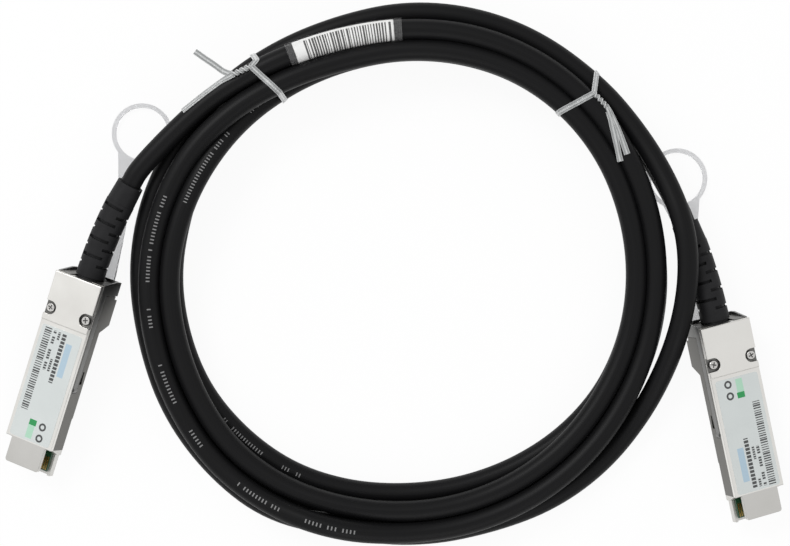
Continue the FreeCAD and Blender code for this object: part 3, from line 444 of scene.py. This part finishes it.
def tie(name, angle, stem, ends):
    """A whole twist tie: the band, the twisted stem and two free ends, joined."""
    loop = band(angle)
    knot, fork = laid(stem, STEM_LIFT)
    knot.z = fork.z = max(knot.z, fork.z)
    loop += taut(loop[-1], knot) + [knot] + taut(knot, loop[0])
    turns = [knot.lerp(fork, i / STEM_STEPS) for i in range(STEM_STEPS + 1)]
    twists = [STEM_TWIST * i for i in range(STEM_STEPS + 1)]
    parts = [swept(name + "_ribbon", loop, single, [0.0] * len(loop), closed=True, twist="MINIMUM"),
             swept(name + "_stem", turns, double, twists)]
    parts += [free_end(name + "_end", end, turns[-2], fork) for end in ends]
    select_only(*parts)
    bpy.ops.object.join()
    piece = bpy.context.object
    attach(piece, ROOT)
    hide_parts(name)
    top = max(v.co.z for v in piece.data.vertices)
    print(piece.name, len(piece.data.polygons), "faces, top at", round(top / MM, 1), "mm")
    return piece


ties = [tie(name, *spec) for name, spec in TIES.items()]
bpy.data.objects.remove(single)
bpy.data.objects.remove(double)

# %% [markdown]
# ## Marker sleeve
# A clear sleeve holds a slip of paper with a barcode round the top turn. The sleeve is a thin
# tube about the cable's own line. The paper is a sheet curled over the jacket inside it, a
# little shorter than the sleeve.

# %% Thin tube about the cable
DEGREES_A_SIDE = 10


def on_top_turn(first, last):
    """The cable's own points on its first turn, between two clock angles."""
    return [p for p, angle in zip(line, angles) if first <= angle <= last]


def tube(name, points, radius, sheet, start=0.0, stop=360.0):
    """A thin tube, or a part of one, about a line."""
    data = bpy.data.curves.new(name + "_section", "CURVE")
    data.dimensions = "2D"
    data.fill_mode = "NONE"
    outline = data.splines.new("POLY")
    steps = int((stop - start) / DEGREES_A_SIDE)
    whole = stop - start >= 360
    outline.points.add(steps - (1 if whole else 0))
    for i, spot in enumerate(outline.points):
        way = math.radians(start + (stop - start) * i / steps)
        spot.co = (radius * math.sin(way), radius * math.cos(way), 0.0, 1.0)
    outline.use_cyclic_u = whole
    section = bpy.data.objects.new(name + "_section", data)
    bpy.context.scene.collection.objects.link(section)
    piece = swept(name, points, section, [0.0] * len(points))
    bpy.data.objects.remove(section)
    select_only(piece)
    bpy.ops.object.mode_set(mode="EDIT")
    bpy.ops.mesh.select_all(action="SELECT")
    bpy.ops.mesh.normals_make_consistent(inside=False)
    bpy.ops.object.mode_set(mode="OBJECT")
    skin = piece.modifiers.new("wall", "SOLIDIFY")
    skin.thickness = sheet
    skin.offset = -1.0
    bpy.ops.object.modifier_apply(modifier="wall")
    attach(piece, ROOT)
    print(name, len(piece.data.polygons), "faces")
    return piece


# %% Sleeve and paper
# Clock angles of the sleeve's ends, and how many degrees the slip ends short of each.
SLEEVE_FROM, SLEEVE_TO = 331.0, 361.0
SLIP_MARGIN = 1.8
SLEEVE_RADIUS = CABLE_RADIUS + 0.55 * MM
SLEEVE_WALL = 0.25 * MM
SLIP_RADIUS = CABLE_RADIUS + 0.18 * MM
SLIP_THICKNESS = 0.12 * MM
# Where the slip's two edges lie round the cable, in degrees.
SLIP_EDGES = -72.0, 108.0

sleeve = tube("marker_tube", on_top_turn(SLEEVE_FROM, SLEEVE_TO), SLEEVE_RADIUS, SLEEVE_WALL)
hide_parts("marker_sleeve")
under_sleeve = on_top_turn(SLEEVE_FROM + SLIP_MARGIN, SLEEVE_TO - SLIP_MARGIN)
paper = tube("marker_slip", under_sleeve, SLIP_RADIUS, SLIP_THICKNESS, *SLIP_EDGES)
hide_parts("marker_paper")

# %% [markdown]
# ## The cable as a cord
# The cable, the ties, the sleeve and the slip all hang from one body. The cable's length is
# what can be seen between the two boots.

# %% Cord
print("cord with", [p.name for p in (*ties, sleeve, paper)])

# %% [markdown]
# ## Frames of the connectors
# The print on a label and the painted shade on a shell belong to the connector, not to the
# room. Each connector's own frame has X along it towards the nose, Y across and Z out of its label.

# %% Connector frames
# Degrees that both noses dip.
NOSE_DOWN = 4.4


def connector_frame(rear, heading, roll):
    """The frame at the rear edge of a cover, from its place, heading and roll."""
    return (Matrix.Translation(Vector(rear) * MM)
            @ Matrix.Rotation(math.radians(heading), 4, "Z")
            @ Matrix.Rotation(math.radians(NOSE_DOWN), 4, "Y")
            @ Matrix.Rotation(math.radians(roll), 4, "X"))


PLUG_FRAME = {
    "a": connector_frame((-106.25, 11.53, 17.079), -107.8, 20.0),
    "b": connector_frame((111.45, -3.67, 16.768), -77.6, -16.0),
}
for plug, matrix in PLUG_FRAME.items():
    print("nose of plug", plug, "points to", [round(v, 3) for v in matrix.col[0].xyz])

# %% [markdown] ## Return springs Two short coil springs push each latch slider home.

# %% Return springs
# In millimetres: a spring at rest, with its coils closed, and half its wire.
SPRING_LENGTH = 4.0
WIRE_RADIUS = 0.175
SPRING_COILS = 3.5
POINTS_A_COIL = 12


def helix(rear, across, height, radius):
    """The wire's line along a connector's X, in its own millimetres."""
    steps = int(SPRING_COILS * POINTS_A_COIL)
    run = SPRING_LENGTH - 2 * WIRE_RADIUS
    points = []
    for i in range(steps + 1):
        turn = math.tau * SPRING_COILS * i / steps
        points.append(Vector((rear + WIRE_RADIUS + run * i / steps,
                              across + radius * math.cos(turn),
                              height + radius * math.sin(turn))))
    return points


def return_springs(plug):
    """Both springs of a connector, wound along its X where the packed ones lie."""
    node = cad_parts["return_springs_" + plug]
    to_plug = PLUG_FRAME[plug].inverted()
    corners = [to_plug @ v.co / MM for v in node.data.vertices]
    rear = min(c.x for c in corners)
    low, high = min(c.z for c in corners), max(c.z for c in corners)
    height, outer = (low + high) / 2, (high - low) / 2
    side = max(c.y for c in corners) - outer
    pair = []
    for way in (1, -1):
        points = helix(rear, way * side, height, outer - WIRE_RADIUS)
        points = [PLUG_FRAME[plug] @ (p * MM) for p in points]
        select_only(spline_curve("return_spring", points, WIRE_RADIUS * MM, resolution=2))
        bpy.ops.object.convert(target="MESH")
        pair.append(bpy.context.object)
    select_only(*pair)
    bpy.ops.object.join()
    piece = bpy.context.object
    piece.name = "wound_springs_" + plug
    bpy.ops.object.shade_smooth_by_angle(angle=SMOOTH_ANGLE)
    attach(piece, ROOT)
    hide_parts("return_springs_" + plug)
    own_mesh(piece)
    print(piece.name, len(piece.data.polygons), "faces, from", round(rear, 2), "mm")
    return piece


springs = [return_springs(plug) for plug in "ab"]

# %% [markdown]
# ## Light
# A plain white table and a soft even light from above show the object as a catalogue
# does. The floor is white to the camera, to glossy rays and to rays that pass through clear
# plastic, so the metal reflects a bright surround and the object keeps its faint shadow.

# %% Floor
# The table's width in metres, and the gap that keeps it clear of the cable.
TABLE_SIZE = 3.0
TABLE_GAP = 0.2 * MM

clear_selection()
bpy.ops.mesh.primitive_plane_add(size=TABLE_SIZE, location=(0.0, 0.0, -TABLE_GAP))
floor = bpy.context.object
floor.name = "white_table"
print("table", TABLE_SIZE, "m across")

# %% [markdown]
# Metal shows what it reflects, so the lamps are chosen by what each connector sees. The flat
# tops of the two covers lean to the sides and mirror a large weak softbox each. A smaller,
# stronger key light gives the shadow its direction and a fourth lamp lifts the near sides.

# %% Lamps and world
# Where each lamp stands, how wide it is and how strong.
LAMPS = {
    "key_softbox": ((-0.9, 1.0, 1.5), 0.9, 16.0),
    "right_softbox": ((1.3, 0.1, 1.2), 2.4, 4.5),
    "left_softbox": ((-1.3, 0.1, 1.2), 2.4, 4.5),
    "front_softbox": ((0.1, -1.5, 1.3), 1.2, 7.0),
}
SKY_STRENGTH = 0.55

for name, (place, size, power) in LAMPS.items():
    clear_selection()
    bpy.ops.object.light_add(type="AREA", location=place)
    light = bpy.context.object
    light.name = name
    light.data.shape = "DISK"
    light.data.size = size
    light.data.energy = power
    aim = MIDDLE - Vector(place)
    light.rotation_euler = aim.to_track_quat("-Z", "Y").to_euler()

world = bpy.data.worlds.new("studio")
bpy.context.scene.world = world
world.use_nodes = True
sky = world.node_tree.nodes["Background"]
sky.inputs["Color"].default_value = (1.0, 1.0, 1.0, 1.0)
sky.inputs["Strength"].default_value = SKY_STRENGTH

# %% [markdown]
# ## A small kit for finishes
# Every finish is a tree of shader nodes. Written node by node, maths is hard to read, so one
# class wraps a number socket and lets Python's own operators add the Math nodes, and one
# method adds every other node.

# %% Numbers on a surface
class Number:
    """A number that varies over a surface."""

    def __init__(self, finish, socket):
        self.finish, self.socket = finish, socket

    def do(self, operation, *values):
        """A Math node. The number itself is its first value unless others are given."""
        values = values or (self,)
        return self.finish.add("ShaderNodeMath", {"operation": operation}, dict(enumerate(values)))

    def __add__(self, other):
        return self.do("ADD", self, other)

    def __radd__(self, other):
        return self.do("ADD", other, self)

    def __sub__(self, other):
        return self.do("SUBTRACT", self, other)

    def __rsub__(self, other):
        return self.do("SUBTRACT", other, self)

    def __mul__(self, other):
        return self.do("MULTIPLY", self, other)

    def __rmul__(self, other):
        return self.do("MULTIPLY", other, self)

    def __truediv__(self, other):
        return self.do("DIVIDE", self, other)

    def __gt__(self, other):
        return self.do("GREATER_THAN", self, other)

    def __lt__(self, other):
        return self.do("LESS_THAN", self, other)

    def __abs__(self):
        return self.do("ABSOLUTE")

    def at_most(self, limit):
        return self.do("MINIMUM", self, limit)

    def squared(self):
        return self.do("POWER", self, 2.0)

    def floor(self):
        return self.do("FLOOR")

    def fraction(self):
        return self.do("FRACT")

    def sine(self):
        return self.do("SINE")

    def between(self, low, high):
        """One inside a range and zero outside it."""
        return (self > low) * (self < high)


print("besides its operators, a number has", [word for word in vars(Number) if word[0] != "_"])

# %% A material and its nodes
class Finish:
    """A material with one Principled shader, named for what it covers."""

    def __init__(self, name, color, roughness, metallic=0.0, **constants):
        self.material = bpy.data.materials.new(name)
        self.material.use_nodes = True
        self.tree = self.material.node_tree
        self.shader = self.tree.nodes["Principled BSDF"]
        self.set("Base Color", (*color, 1.0))
        self.set("Roughness", roughness)
        self.set("Metallic", metallic)
        for socket, value in constants.items():
            self.set(socket.replace("_", " "), value)

    def set(self, socket, value):
        """Gives a socket of the shader a number, a colour or a link."""
        target = self.shader.inputs[socket]
        if isinstance(value, Number):
            self.tree.links.new(value.socket, target)
        else:
            target.default_value = value

    def add(self, kind, settings=None, values=None, output=0):
        """Any node, from its type, its settings and the values or links of its sockets."""
        node = self.tree.nodes.new(kind)
        for key, value in (settings or {}).items():
            setattr(node, key, value)
        for key, value in (values or {}).items():
            if isinstance(value, Number):
                self.tree.links.new(value.socket, node.inputs[key])
            else:
                node.inputs[key].default_value = value
        return Number(self, node.outputs[output])

    def place(self, matrix=None):
        """Object coordinates, turned into a piece's own frame when a matrix is given."""
        at = self.add("ShaderNodeTexCoord", output="Object")
        if matrix is None:
            return at
        inverse = matrix.inverted()
        return self.add("ShaderNodeMapping", {"vector_type": "POINT"}, {
            "Vector": at, "Location": inverse.to_translation(), "Rotation": inverse.to_euler()})

    def part(self, vector, axis):
        """X, Y or Z of a vector."""
        return self.add("ShaderNodeSeparateXYZ", None, {"Vector": vector}, axis)

    def along_and_around(self):
        """U and V of a swept piece: along it and round its section."""
        uv = self.add("ShaderNodeTexCoord", output="UV")
        return self.part(uv, "X"), self.part(uv, "Y")

    def noise(self, at, scale, detail=2.0):
        """Soft noise from 0 to 1, with its scale in cells per metre."""
        return self.add("ShaderNodeTexNoise", None, {"Vector": at, "Scale": scale, "Detail": detail}, "Fac")

    def mix(self, factor, first, second):
        """A colour between two. A mask times a number is how strongly the second one shows."""
        first, second = (c if isinstance(c, Number) else (*c, 1.0) for c in (first, second))
        return self.add("ShaderNodeMix", {"data_type": "RGBA"}, {0: factor, 6: first, 7: second}, 2)

    def bump(self, height, distance, strength, normal=None):
        """Relief of the surface, on top of rounded edges where they are given."""
        values = {"Height": height, "Distance": distance, "Strength": strength}
        if normal is not None:
            values["Normal"] = normal
        self.set("Normal", self.add("ShaderNodeBump", None, values))

    def round_edges(self, radius):
        """A normal that rounds every edge, for light only."""
        return self.add("ShaderNodeBevel", {"samples": 6}, {"Radius": radius})

    def cover(self, *pieces):
        """Puts the finish on pieces, in place of what they had."""
        for piece in pieces:
            piece.data.materials.clear()
            piece.data.materials.append(self.material)
        print(self.material.name, "covers", [p.name for p in pieces])


def cad(name):
    """A packed piece."""
    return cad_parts[name]


def both(name):
    """A packed piece of both connectors."""
    return cad(name + "_a"), cad(name + "_b")


print("a finish can cover", len(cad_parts), "packed pieces and the new ones")

# %% [markdown]
# Print is made of cells of a fixed pitch. White noise gives each cell a number of its own, which
# says whether the cell is filled, or how wide its bar is.

# %% Rows of print
# The narrowest bar as a share of its cell, and how much wider the widest one is.
BAR_LEAST, BAR_SPREAD = 0.3, 0.5


def cell_number(finish, step):
    """A number from 0 to 1 that is the same all over a cell."""
    return finish.add("ShaderNodeTexWhiteNoise", {"noise_dimensions": "1D"}, {"W": step.floor()}, "Value")


def filled(finish, along, pitch, share):
    """One in some of the cells: a given share of them, picked at random."""
    return cell_number(finish, along / pitch) > 1 - share


def dashes(along, pitch, length):
    """One in the first stretch of every cell."""
    return (along / pitch).fraction() < length


def barcode(finish, along, pitch):
    """A bar in each cell, each of its own width."""
    step = along / pitch
    return step.fraction() < cell_number(finish, step) * BAR_SPREAD + BAR_LEAST


print("bars fill from", BAR_LEAST, "to", BAR_LEAST + BAR_SPREAD, "of a cell")

# %% [markdown]
# ## White table
# The table is white to the camera, whatever light falls on it, apart from the object's own
# shadow. A shader that glows white where the camera looks, mixed with a plain white one that
# takes the shadow, keeps both.

# %% Table finish
# How much of the table is glow where the camera looks. The rest is lit and takes the shadow.
GLOW_SHARE = 0.93

table = Finish("white_table_top", (0.9, 0.9, 0.9), 0.9)
camera_ray = table.add("ShaderNodeLightPath", output="Is Camera Ray")
gloss_ray = table.add("ShaderNodeLightPath", output="Is Glossy Ray")
clear_ray = table.add("ShaderNodeLightPath", output="Is Transmission Ray")
seen = (camera_ray + gloss_ray + clear_ray).at_most(1.0)
glow = table.add("ShaderNodeEmission", None, {"Color": (1.0, 1.0, 1.0, 1.0), "Strength": 1.0})
lit = Number(table, table.shader.outputs[0])
surface = table.add("ShaderNodeMixShader", None, {0: seen * GLOW_SHARE, 1: lit, 2: glow})
table.tree.links.new(surface.socket, table.tree.nodes["Material Output"].inputs["Surface"])
table.cover(floor)

# %% [markdown]
# ## Metal
# The shells are die-cast zinc with a satin nickel plating: a bright, slightly warm metal, with
# a fine grain from the casting, a little unevenness in its gloss and soft edges. The bevel
# shader rounds the light on every edge, so the packed shape stays as it is.

# %% Cast metal
ROUNDING = 0.2 * MM


def in_plug(finish, plug):
    """X, Y and Z in a connector's own millimetres."""
    at = finish.place(PLUG_FRAME[plug])
    return [finish.part(at, axis) / MM for axis in "XYZ"]


def casting(name, plug, dark, light, roughness, grain):
    """A cast finish, and its colour in patches between a dark and a light one."""
    finish = Finish(name + "_" + plug, dark, roughness, 1.0)
    at = finish.place()
    patches = finish.noise(at, 90.0, 3.0)
    finish.set("Roughness", (roughness - 0.07) + patches * 0.14)
    finish.bump(finish.noise(at, 1500.0, 3.0), 0.03 * MM, grain, finish.round_edges(ROUNDING))
    return finish, finish.mix(patches, dark, light)


print("edges are rounded for light by", round(ROUNDING / MM, 2), "mm")

# %% [markdown]
# The cover is bright, with painted shade on its nose and in the recess round each screw. The
# lower shell carries painted shade: it is dark on its sides and keeps a bright colour at the nose.

# %% Covers and lower shells
# X where the nose starts, in the connector's own millimetres.
NOSE_START = 58.4
# The screws' recesses: from and to along the connector, from and to in depth, and how far out.
RECESS_X = 10.2, 15.2
RECESS_Z = -1.2, 0.1
RECESS_Y = 4.6
# The colour of the painted shade in the screws' recesses and on the nose.
SHADE = 0.05, 0.05, 0.048

for plug in "ab":
    cover, color = casting("satin_nickel_cover", plug, (0.75, 0.735, 0.70), (0.86, 0.85, 0.82), 0.31, 0.3)
    x, y, z = in_plug(cover, plug)
    # Painted shade: the cover is darkened in the recess round each screw, and a little on its nose.
    painted_recess_shade = z.between(*RECESS_Z) * x.between(*RECESS_X) * (abs(y) > RECESS_Y)
    cover.set("Base Color", cover.mix(painted_recess_shade * 0.85 + (x > NOSE_START) * 0.25, color, SHADE))
    cover.cover(cad("cover_shell_" + plug))

    # Painted shade: the lower shell is coloured far darker than the cover for the shade on its sides, and
    # it is mixed back to a bright colour at its nose.
    shaded_lower_shell, color = casting("painted_shade_cast_shell", plug, (0.12, 0.118, 0.11), (0.21, 0.206, 0.194), 0.38, 1.0)
    x = in_plug(shaded_lower_shell, plug)[0]
    shaded_lower_shell.set("Base Color", shaded_lower_shell.mix((x > NOSE_START) * 0.8, color, (0.80, 0.79, 0.76)))
    shaded_lower_shell.cover(cad("lower_shell_" + plug))

# %% [markdown]
# The screws are turned steel with painted shade in their cross, the slider is stamped from
# sheet, the springs are drawn wire, the ferrule is brass and the contacts are plated with gold.
# They share one recipe, a roughness that wanders, each with numbers of its own.

# %% Screws, slider, springs, ferrule and contacts
# A screw carries painted shade below this height, which is the floor of its cross.
CROSS_DEPTH = 0.05

for plug in "ab":
    steel = Finish("screw_steel_" + plug, (0.6, 0.59, 0.57), 0.24, 1.0)
    z = in_plug(steel, plug)[2]
    # Painted shade: the screw is darkened below the floor of its cross.
    steel.set("Base Color", steel.mix((z < CROSS_DEPTH) * 0.9, (0.62, 0.61, 0.59), (0.06, 0.06, 0.06)))
    steel.set("Roughness", 0.2 + steel.noise(steel.place(), 700.0) * 0.18)
    steel.bump(steel.noise(steel.place(), 2500.0), 0.02 * MM, 0.2, steel.round_edges(0.12 * MM))
    steel.cover(cad("cover_screws_" + plug))

stamped = Finish("brushed_slider_steel", (0.20, 0.20, 0.195), 0.3, 1.0)
at = stamped.place()
stamped.set("Roughness", 0.22 + stamped.noise(at, 400.0, 4.0) * 0.2)
stamped.bump(stamped.noise(at, 1800.0, 3.0), 0.02 * MM, 0.2, stamped.round_edges(0.15 * MM))
stamped.cover(*both("latch_slider"))

wire = Finish("spring_wire", (0.5, 0.5, 0.5), 0.25, 1.0)
wire.set("Roughness", 0.2 + wire.noise(wire.place(), 900.0) * 0.2)
wire.cover(*springs)

ferrule = Finish("crimped_brass", (0.72, 0.52, 0.25), 0.3, 1.0)
ferrule.set("Roughness", 0.25 + ferrule.noise(ferrule.place(), 600.0) * 0.25)
ferrule.cover(*both("crimp_ferrule"))

gold = Finish("contact_gold_plate", (0.62, 0.43, 0.15), 0.22, 1.0)
gold.set("Roughness", 0.16 + gold.noise(gold.place(), 1200.0) * 0.15)
gold.cover(*both("edge_contacts"))

# %% [markdown]
# ## Inside parts
# The card is green laminate, coloured nearly black as painted shade inside the shell, the wires
# leave the cable as foil-wrapped pairs, and a block of pale resin holds the soldered ends.

# %% Finishes of the inside parts
laminate = Finish("green_card_painted_shade", (0.02, 0.13, 0.05), 0.35, Coat_Weight=0.3)
weave = laminate.noise(laminate.place(), 500.0)
# Painted shade: the card's green is darkened nearly to black for the shade inside the shell, and the noise
# varies its tone.
laminate.set("Base Color", laminate.mix(weave, (0.006, 0.04, 0.016), (0.012, 0.07, 0.028)))
laminate.cover(*both("paddle_card"))

resin = Finish("pale_potting_resin", (0.62, 0.55, 0.40), 0.4, Subsurface_Weight=0.1)
resin.set("Roughness", 0.3 + resin.noise(resin.place(), 300.0) * 0.3)
resin.cover(*both("solder_potting"))

foil = Finish("pair_foil_wrap", (0.78, 0.78, 0.8), 0.3, 1.0)
foil.bump(foil.noise(foil.place(), 1600.0, 3.0), 0.08 * MM, 0.5)
foil.cover(*both("conductor_pairs"))

# %% [markdown]
# ## Black jacket and boots
# The jacket is extruded black plastic: smooth, with a soft sheen, faint lengthwise streaks from
# the die and a row of printed marks. The marks here are plain short ticks, placed by the length
# along the cable. The boots are moulded soft rubber, greyer and more matt.

# %% Where the jacket is marked
# Clock angles, counted on through the turns, between which the jacket carries a row of marks.
PRINTED = [(552, 647), (1007, 1064), (1287, 1311)]
# Where round the jacket the row lies, from 0 to 1.
PRINT_ROW = 0.172, 0.23
# Ticks stand in groups, and some ticks and some groups are left out.
TICK_PITCH = 1.1 * MM
TICK_LENGTH = 0.36
GROUP_PITCH = 7 * TICK_PITCH
FILLED_SHARE = 0.85


def share_at(angle):
    """How far along the cable, from 0 to 1, the counted clock angle comes."""
    return min(range(len(angles)), key=lambda i: abs(angles[i] - angle)) / (len(angles) - 1)


for first, last in PRINTED:
    print("marked from", round(share_at(first), 3), "to", round(share_at(last), 3), "of the cable")

# %% Jacket
jacket = Finish("black_extruded_jacket", (0.006, 0.006, 0.007), 0.42, Specular_IOR_Level=0.13)
share, around = jacket.along_and_around()
along = share * cable_length
tick = (dashes(along, TICK_PITCH, TICK_LENGTH)
        * filled(jacket, along, TICK_PITCH, FILLED_SHARE)
        * filled(jacket, along, GROUP_PITCH, FILLED_SHARE))
windows = [share.between(share_at(first), share_at(last)) for first, last in PRINTED]
mark = tick * around.between(*PRINT_ROW) * sum(windows[1:], windows[0])
streak = jacket.add("ShaderNodeCombineXYZ", None, {"X": along * 6.0, "Y": around * 60.0})
grain = jacket.noise(streak, 1.0, 3.0)
dark = jacket.mix(grain, (0.004, 0.004, 0.0045), (0.009, 0.009, 0.0095))
jacket.set("Base Color", jacket.mix(mark * 0.7, dark, (0.30, 0.30, 0.30)))
jacket.set("Roughness", 0.36 + grain * 0.16)
jacket.bump(grain, 0.06 * MM, 0.2)
jacket.cover(cable)

# %% Boots
rubber = Finish("moulded_boot_rubber", (0.012, 0.012, 0.013), 0.55, Specular_IOR_Level=0.17)
at = rubber.place()
bloom = rubber.noise(at, 250.0, 3.0)
rubber.set("Base Color", rubber.mix(bloom, (0.009, 0.009, 0.010), (0.018, 0.018, 0.019)))
rubber.bump(rubber.noise(at, 1800.0, 3.0), 0.06 * MM, 0.3, rubber.round_edges(ROUNDING))
rubber.cover(*both("strain_relief"))

# %% [markdown]
# ## Clear and milky plastics
# Three plastics let light through. The pull tabs are milky, so most of the light goes through
# them and the rest is scattered. The ties' ribbon is cloudier, with a painted highlight along
# its wire and each of its edges, and painted shade between them. The sleeve is a thin clear
# film, made with a low alpha.

# %% Finishes of the tabs, the ties and the sleeve
# Painted highlights round the ribbon with painted shade between them, and the turn that lays the highlights
# on its wire and its edges.
HIGHLIGHTS_ROUND_RIBBON = 4
HIGHLIGHT_TURN = 1.96

milky = Finish("milky_tab_plastic", (0.8, 0.8, 0.81), 0.3, IOR=1.46, Transmission_Weight=0.75)
at = milky.place()
milky.set("Roughness", 0.26 + milky.noise(at, 200.0) * 0.12)
milky.set("Base Color", milky.mix(milky.noise(at, 80.0), (0.75, 0.755, 0.765), (0.83, 0.83, 0.84)))
milky.bump(milky.noise(at, 250.0), 0.03 * MM, 0.1)
milky.cover(*both("pull_tab"))

ribbon = Finish("ribbed_tie_plastic", (0.6, 0.6, 0.6), 0.3, IOR=1.45, Transmission_Weight=0.2)
along, around = ribbon.along_and_around()
ridge_highlight_and_shade = (around * (math.tau * HIGHLIGHTS_ROUND_RIBBON) + HIGHLIGHT_TURN).sine()
# Painted highlight and shade: light lines on the wire and the edges, darker bands between them.
ribbon.set("Base Color", ribbon.mix(0.5 + ridge_highlight_and_shade * 0.5, (0.30, 0.31, 0.31), (0.66, 0.67, 0.67)))
ribbon.set("Roughness", 0.24 + ribbon.noise(ribbon.place(), 400.0) * 0.14)
ribbon.cover(*ties)

clear = Finish("clear_sleeve_film", (0.8, 0.8, 0.8), 0.1, IOR=1.45, Alpha=0.045)
clear.set("Roughness", 0.08 + clear.noise(clear.place(), 300.0) * 0.1)
clear.cover(sleeve)

# %% [markdown]
# ## Printed paper and labels
# The slip in the sleeve carries bars across the cable. Each label carries a strip of bars along
# one edge, short rows of dashes, a pale blue bar, a green block and two small dark rings. They
# are plain shapes that stand for print and say nothing. A row is a box in the label's own
# millimetres, and one label is the other turned half round.

# %% Slip
BAR_PITCH = 0.98 * MM
# Where the bars lie: metres along the slip, and shares of the way across it.
BARS_ALONG = 2.7 * MM, 34.5 * MM
BARS_AROUND = 0.14, 1.0

slip = Finish("printed_slip_paper", (0.8, 0.8, 0.79), 0.55)
along, around = slip.along_and_around()
printed = barcode(slip, along, BAR_PITCH) * along.between(*BARS_ALONG) * around.between(*BARS_AROUND)
slip.set("Base Color", slip.mix(printed, (0.82, 0.82, 0.81), (0.02, 0.02, 0.02)))
slip.cover(paper)


# %% Labels
# Boxes in millimetres: from and to along the connector, then from and to across it.
BAR_STRIP = 19.1, 48.8, -6.6, -3.9
LONG_ROW = 19.4, 33.4, -3.1, -1.95
SHORT_ROWS = (19.5, 22.2, -1.25, -0.3), (29.0, 33.4, -1.25, -0.3)
BOLD_ROW = 19.6, 36.8, 0.45, 2.1
BLUE_BAR = 22.3, 34.0, 2.75, 5.1
DEEP_GREEN = 50.6, 52.6, -1.9, 0.9
PALE_GREEN = 52.6, 57.2, -1.9, 0.6
# The pitch of the cells in each row, then the share of a cell that its dash takes.
STRIP_PITCH = 0.8
LONG_CELLS = 0.9, 0.7
SHORT_CELLS = 0.8, 0.72
BOLD_CELLS = 1.3, 0.74
# How many of the long row's cells are filled.
LONG_FILLED = 0.75
RING_CENTRES = 52.0, 56.0
RING_ACROSS = 3.5
# The squares of a ring's inner and outer radius.
RING_SQUARES = 0.5, 1.9
# X at one end of the label and at the other, added up.
LABEL_ENDS = 76.5


def block(x, y, box):
    """One inside a box: from and to along the label, then from and to across it."""
    x_from, x_to, y_from, y_to = box
    return x.between(x_from, x_to) * y.between(y_from, y_to)


def dark_print(film, x, y):
    """All that is printed in black: the strip of bars, three rows of dashes and two rings."""
    dark = barcode(film, x, STRIP_PITCH) * block(x, y, BAR_STRIP)
    dark += filled(film, x, LONG_CELLS[0], LONG_FILLED) * block(x, y, LONG_ROW) * dashes(x, *LONG_CELLS)
    dark += (block(x, y, SHORT_ROWS[0]) + block(x, y, SHORT_ROWS[1])) * dashes(x, *SHORT_CELLS)
    dark += block(x, y, BOLD_ROW) * dashes(x, *BOLD_CELLS)
    for centre in RING_CENTRES:
        dark += ((x - centre).squared() + (y - RING_ACROSS).squared()).between(*RING_SQUARES)
    return dark.at_most(1.0)


def label_print(plug, turned_round):
    """The label of one connector."""
    film = Finish("printed_label_" + plug, (0.63, 0.67, 0.675), 0.34, Coat_Weight=0.25)
    x, y = in_plug(film, plug)[:2]
    if turned_round:
        x, y = LABEL_ENDS - x, y * -1.0
    paper_shade = film.noise(film.place(), 120.0)
    color = film.mix(paper_shade, (0.555, 0.59, 0.585), (0.615, 0.65, 0.64))
    color = film.mix(block(x, y, PALE_GREEN) * 0.6, color, (0.25, 0.62, 0.38))
    color = film.mix(block(x, y, DEEP_GREEN), color, (0.01, 0.27, 0.07))
    color = film.mix(block(x, y, BLUE_BAR) * 0.55, color, (0.22, 0.42, 0.60))
    film.set("Base Color", film.mix(dark_print(film, x, y) * 0.93, color, (0.012, 0.012, 0.014)))
    film.cover(cad("label_" + plug))


label_print("a", turned_round=False)
label_print("b", turned_round=True)
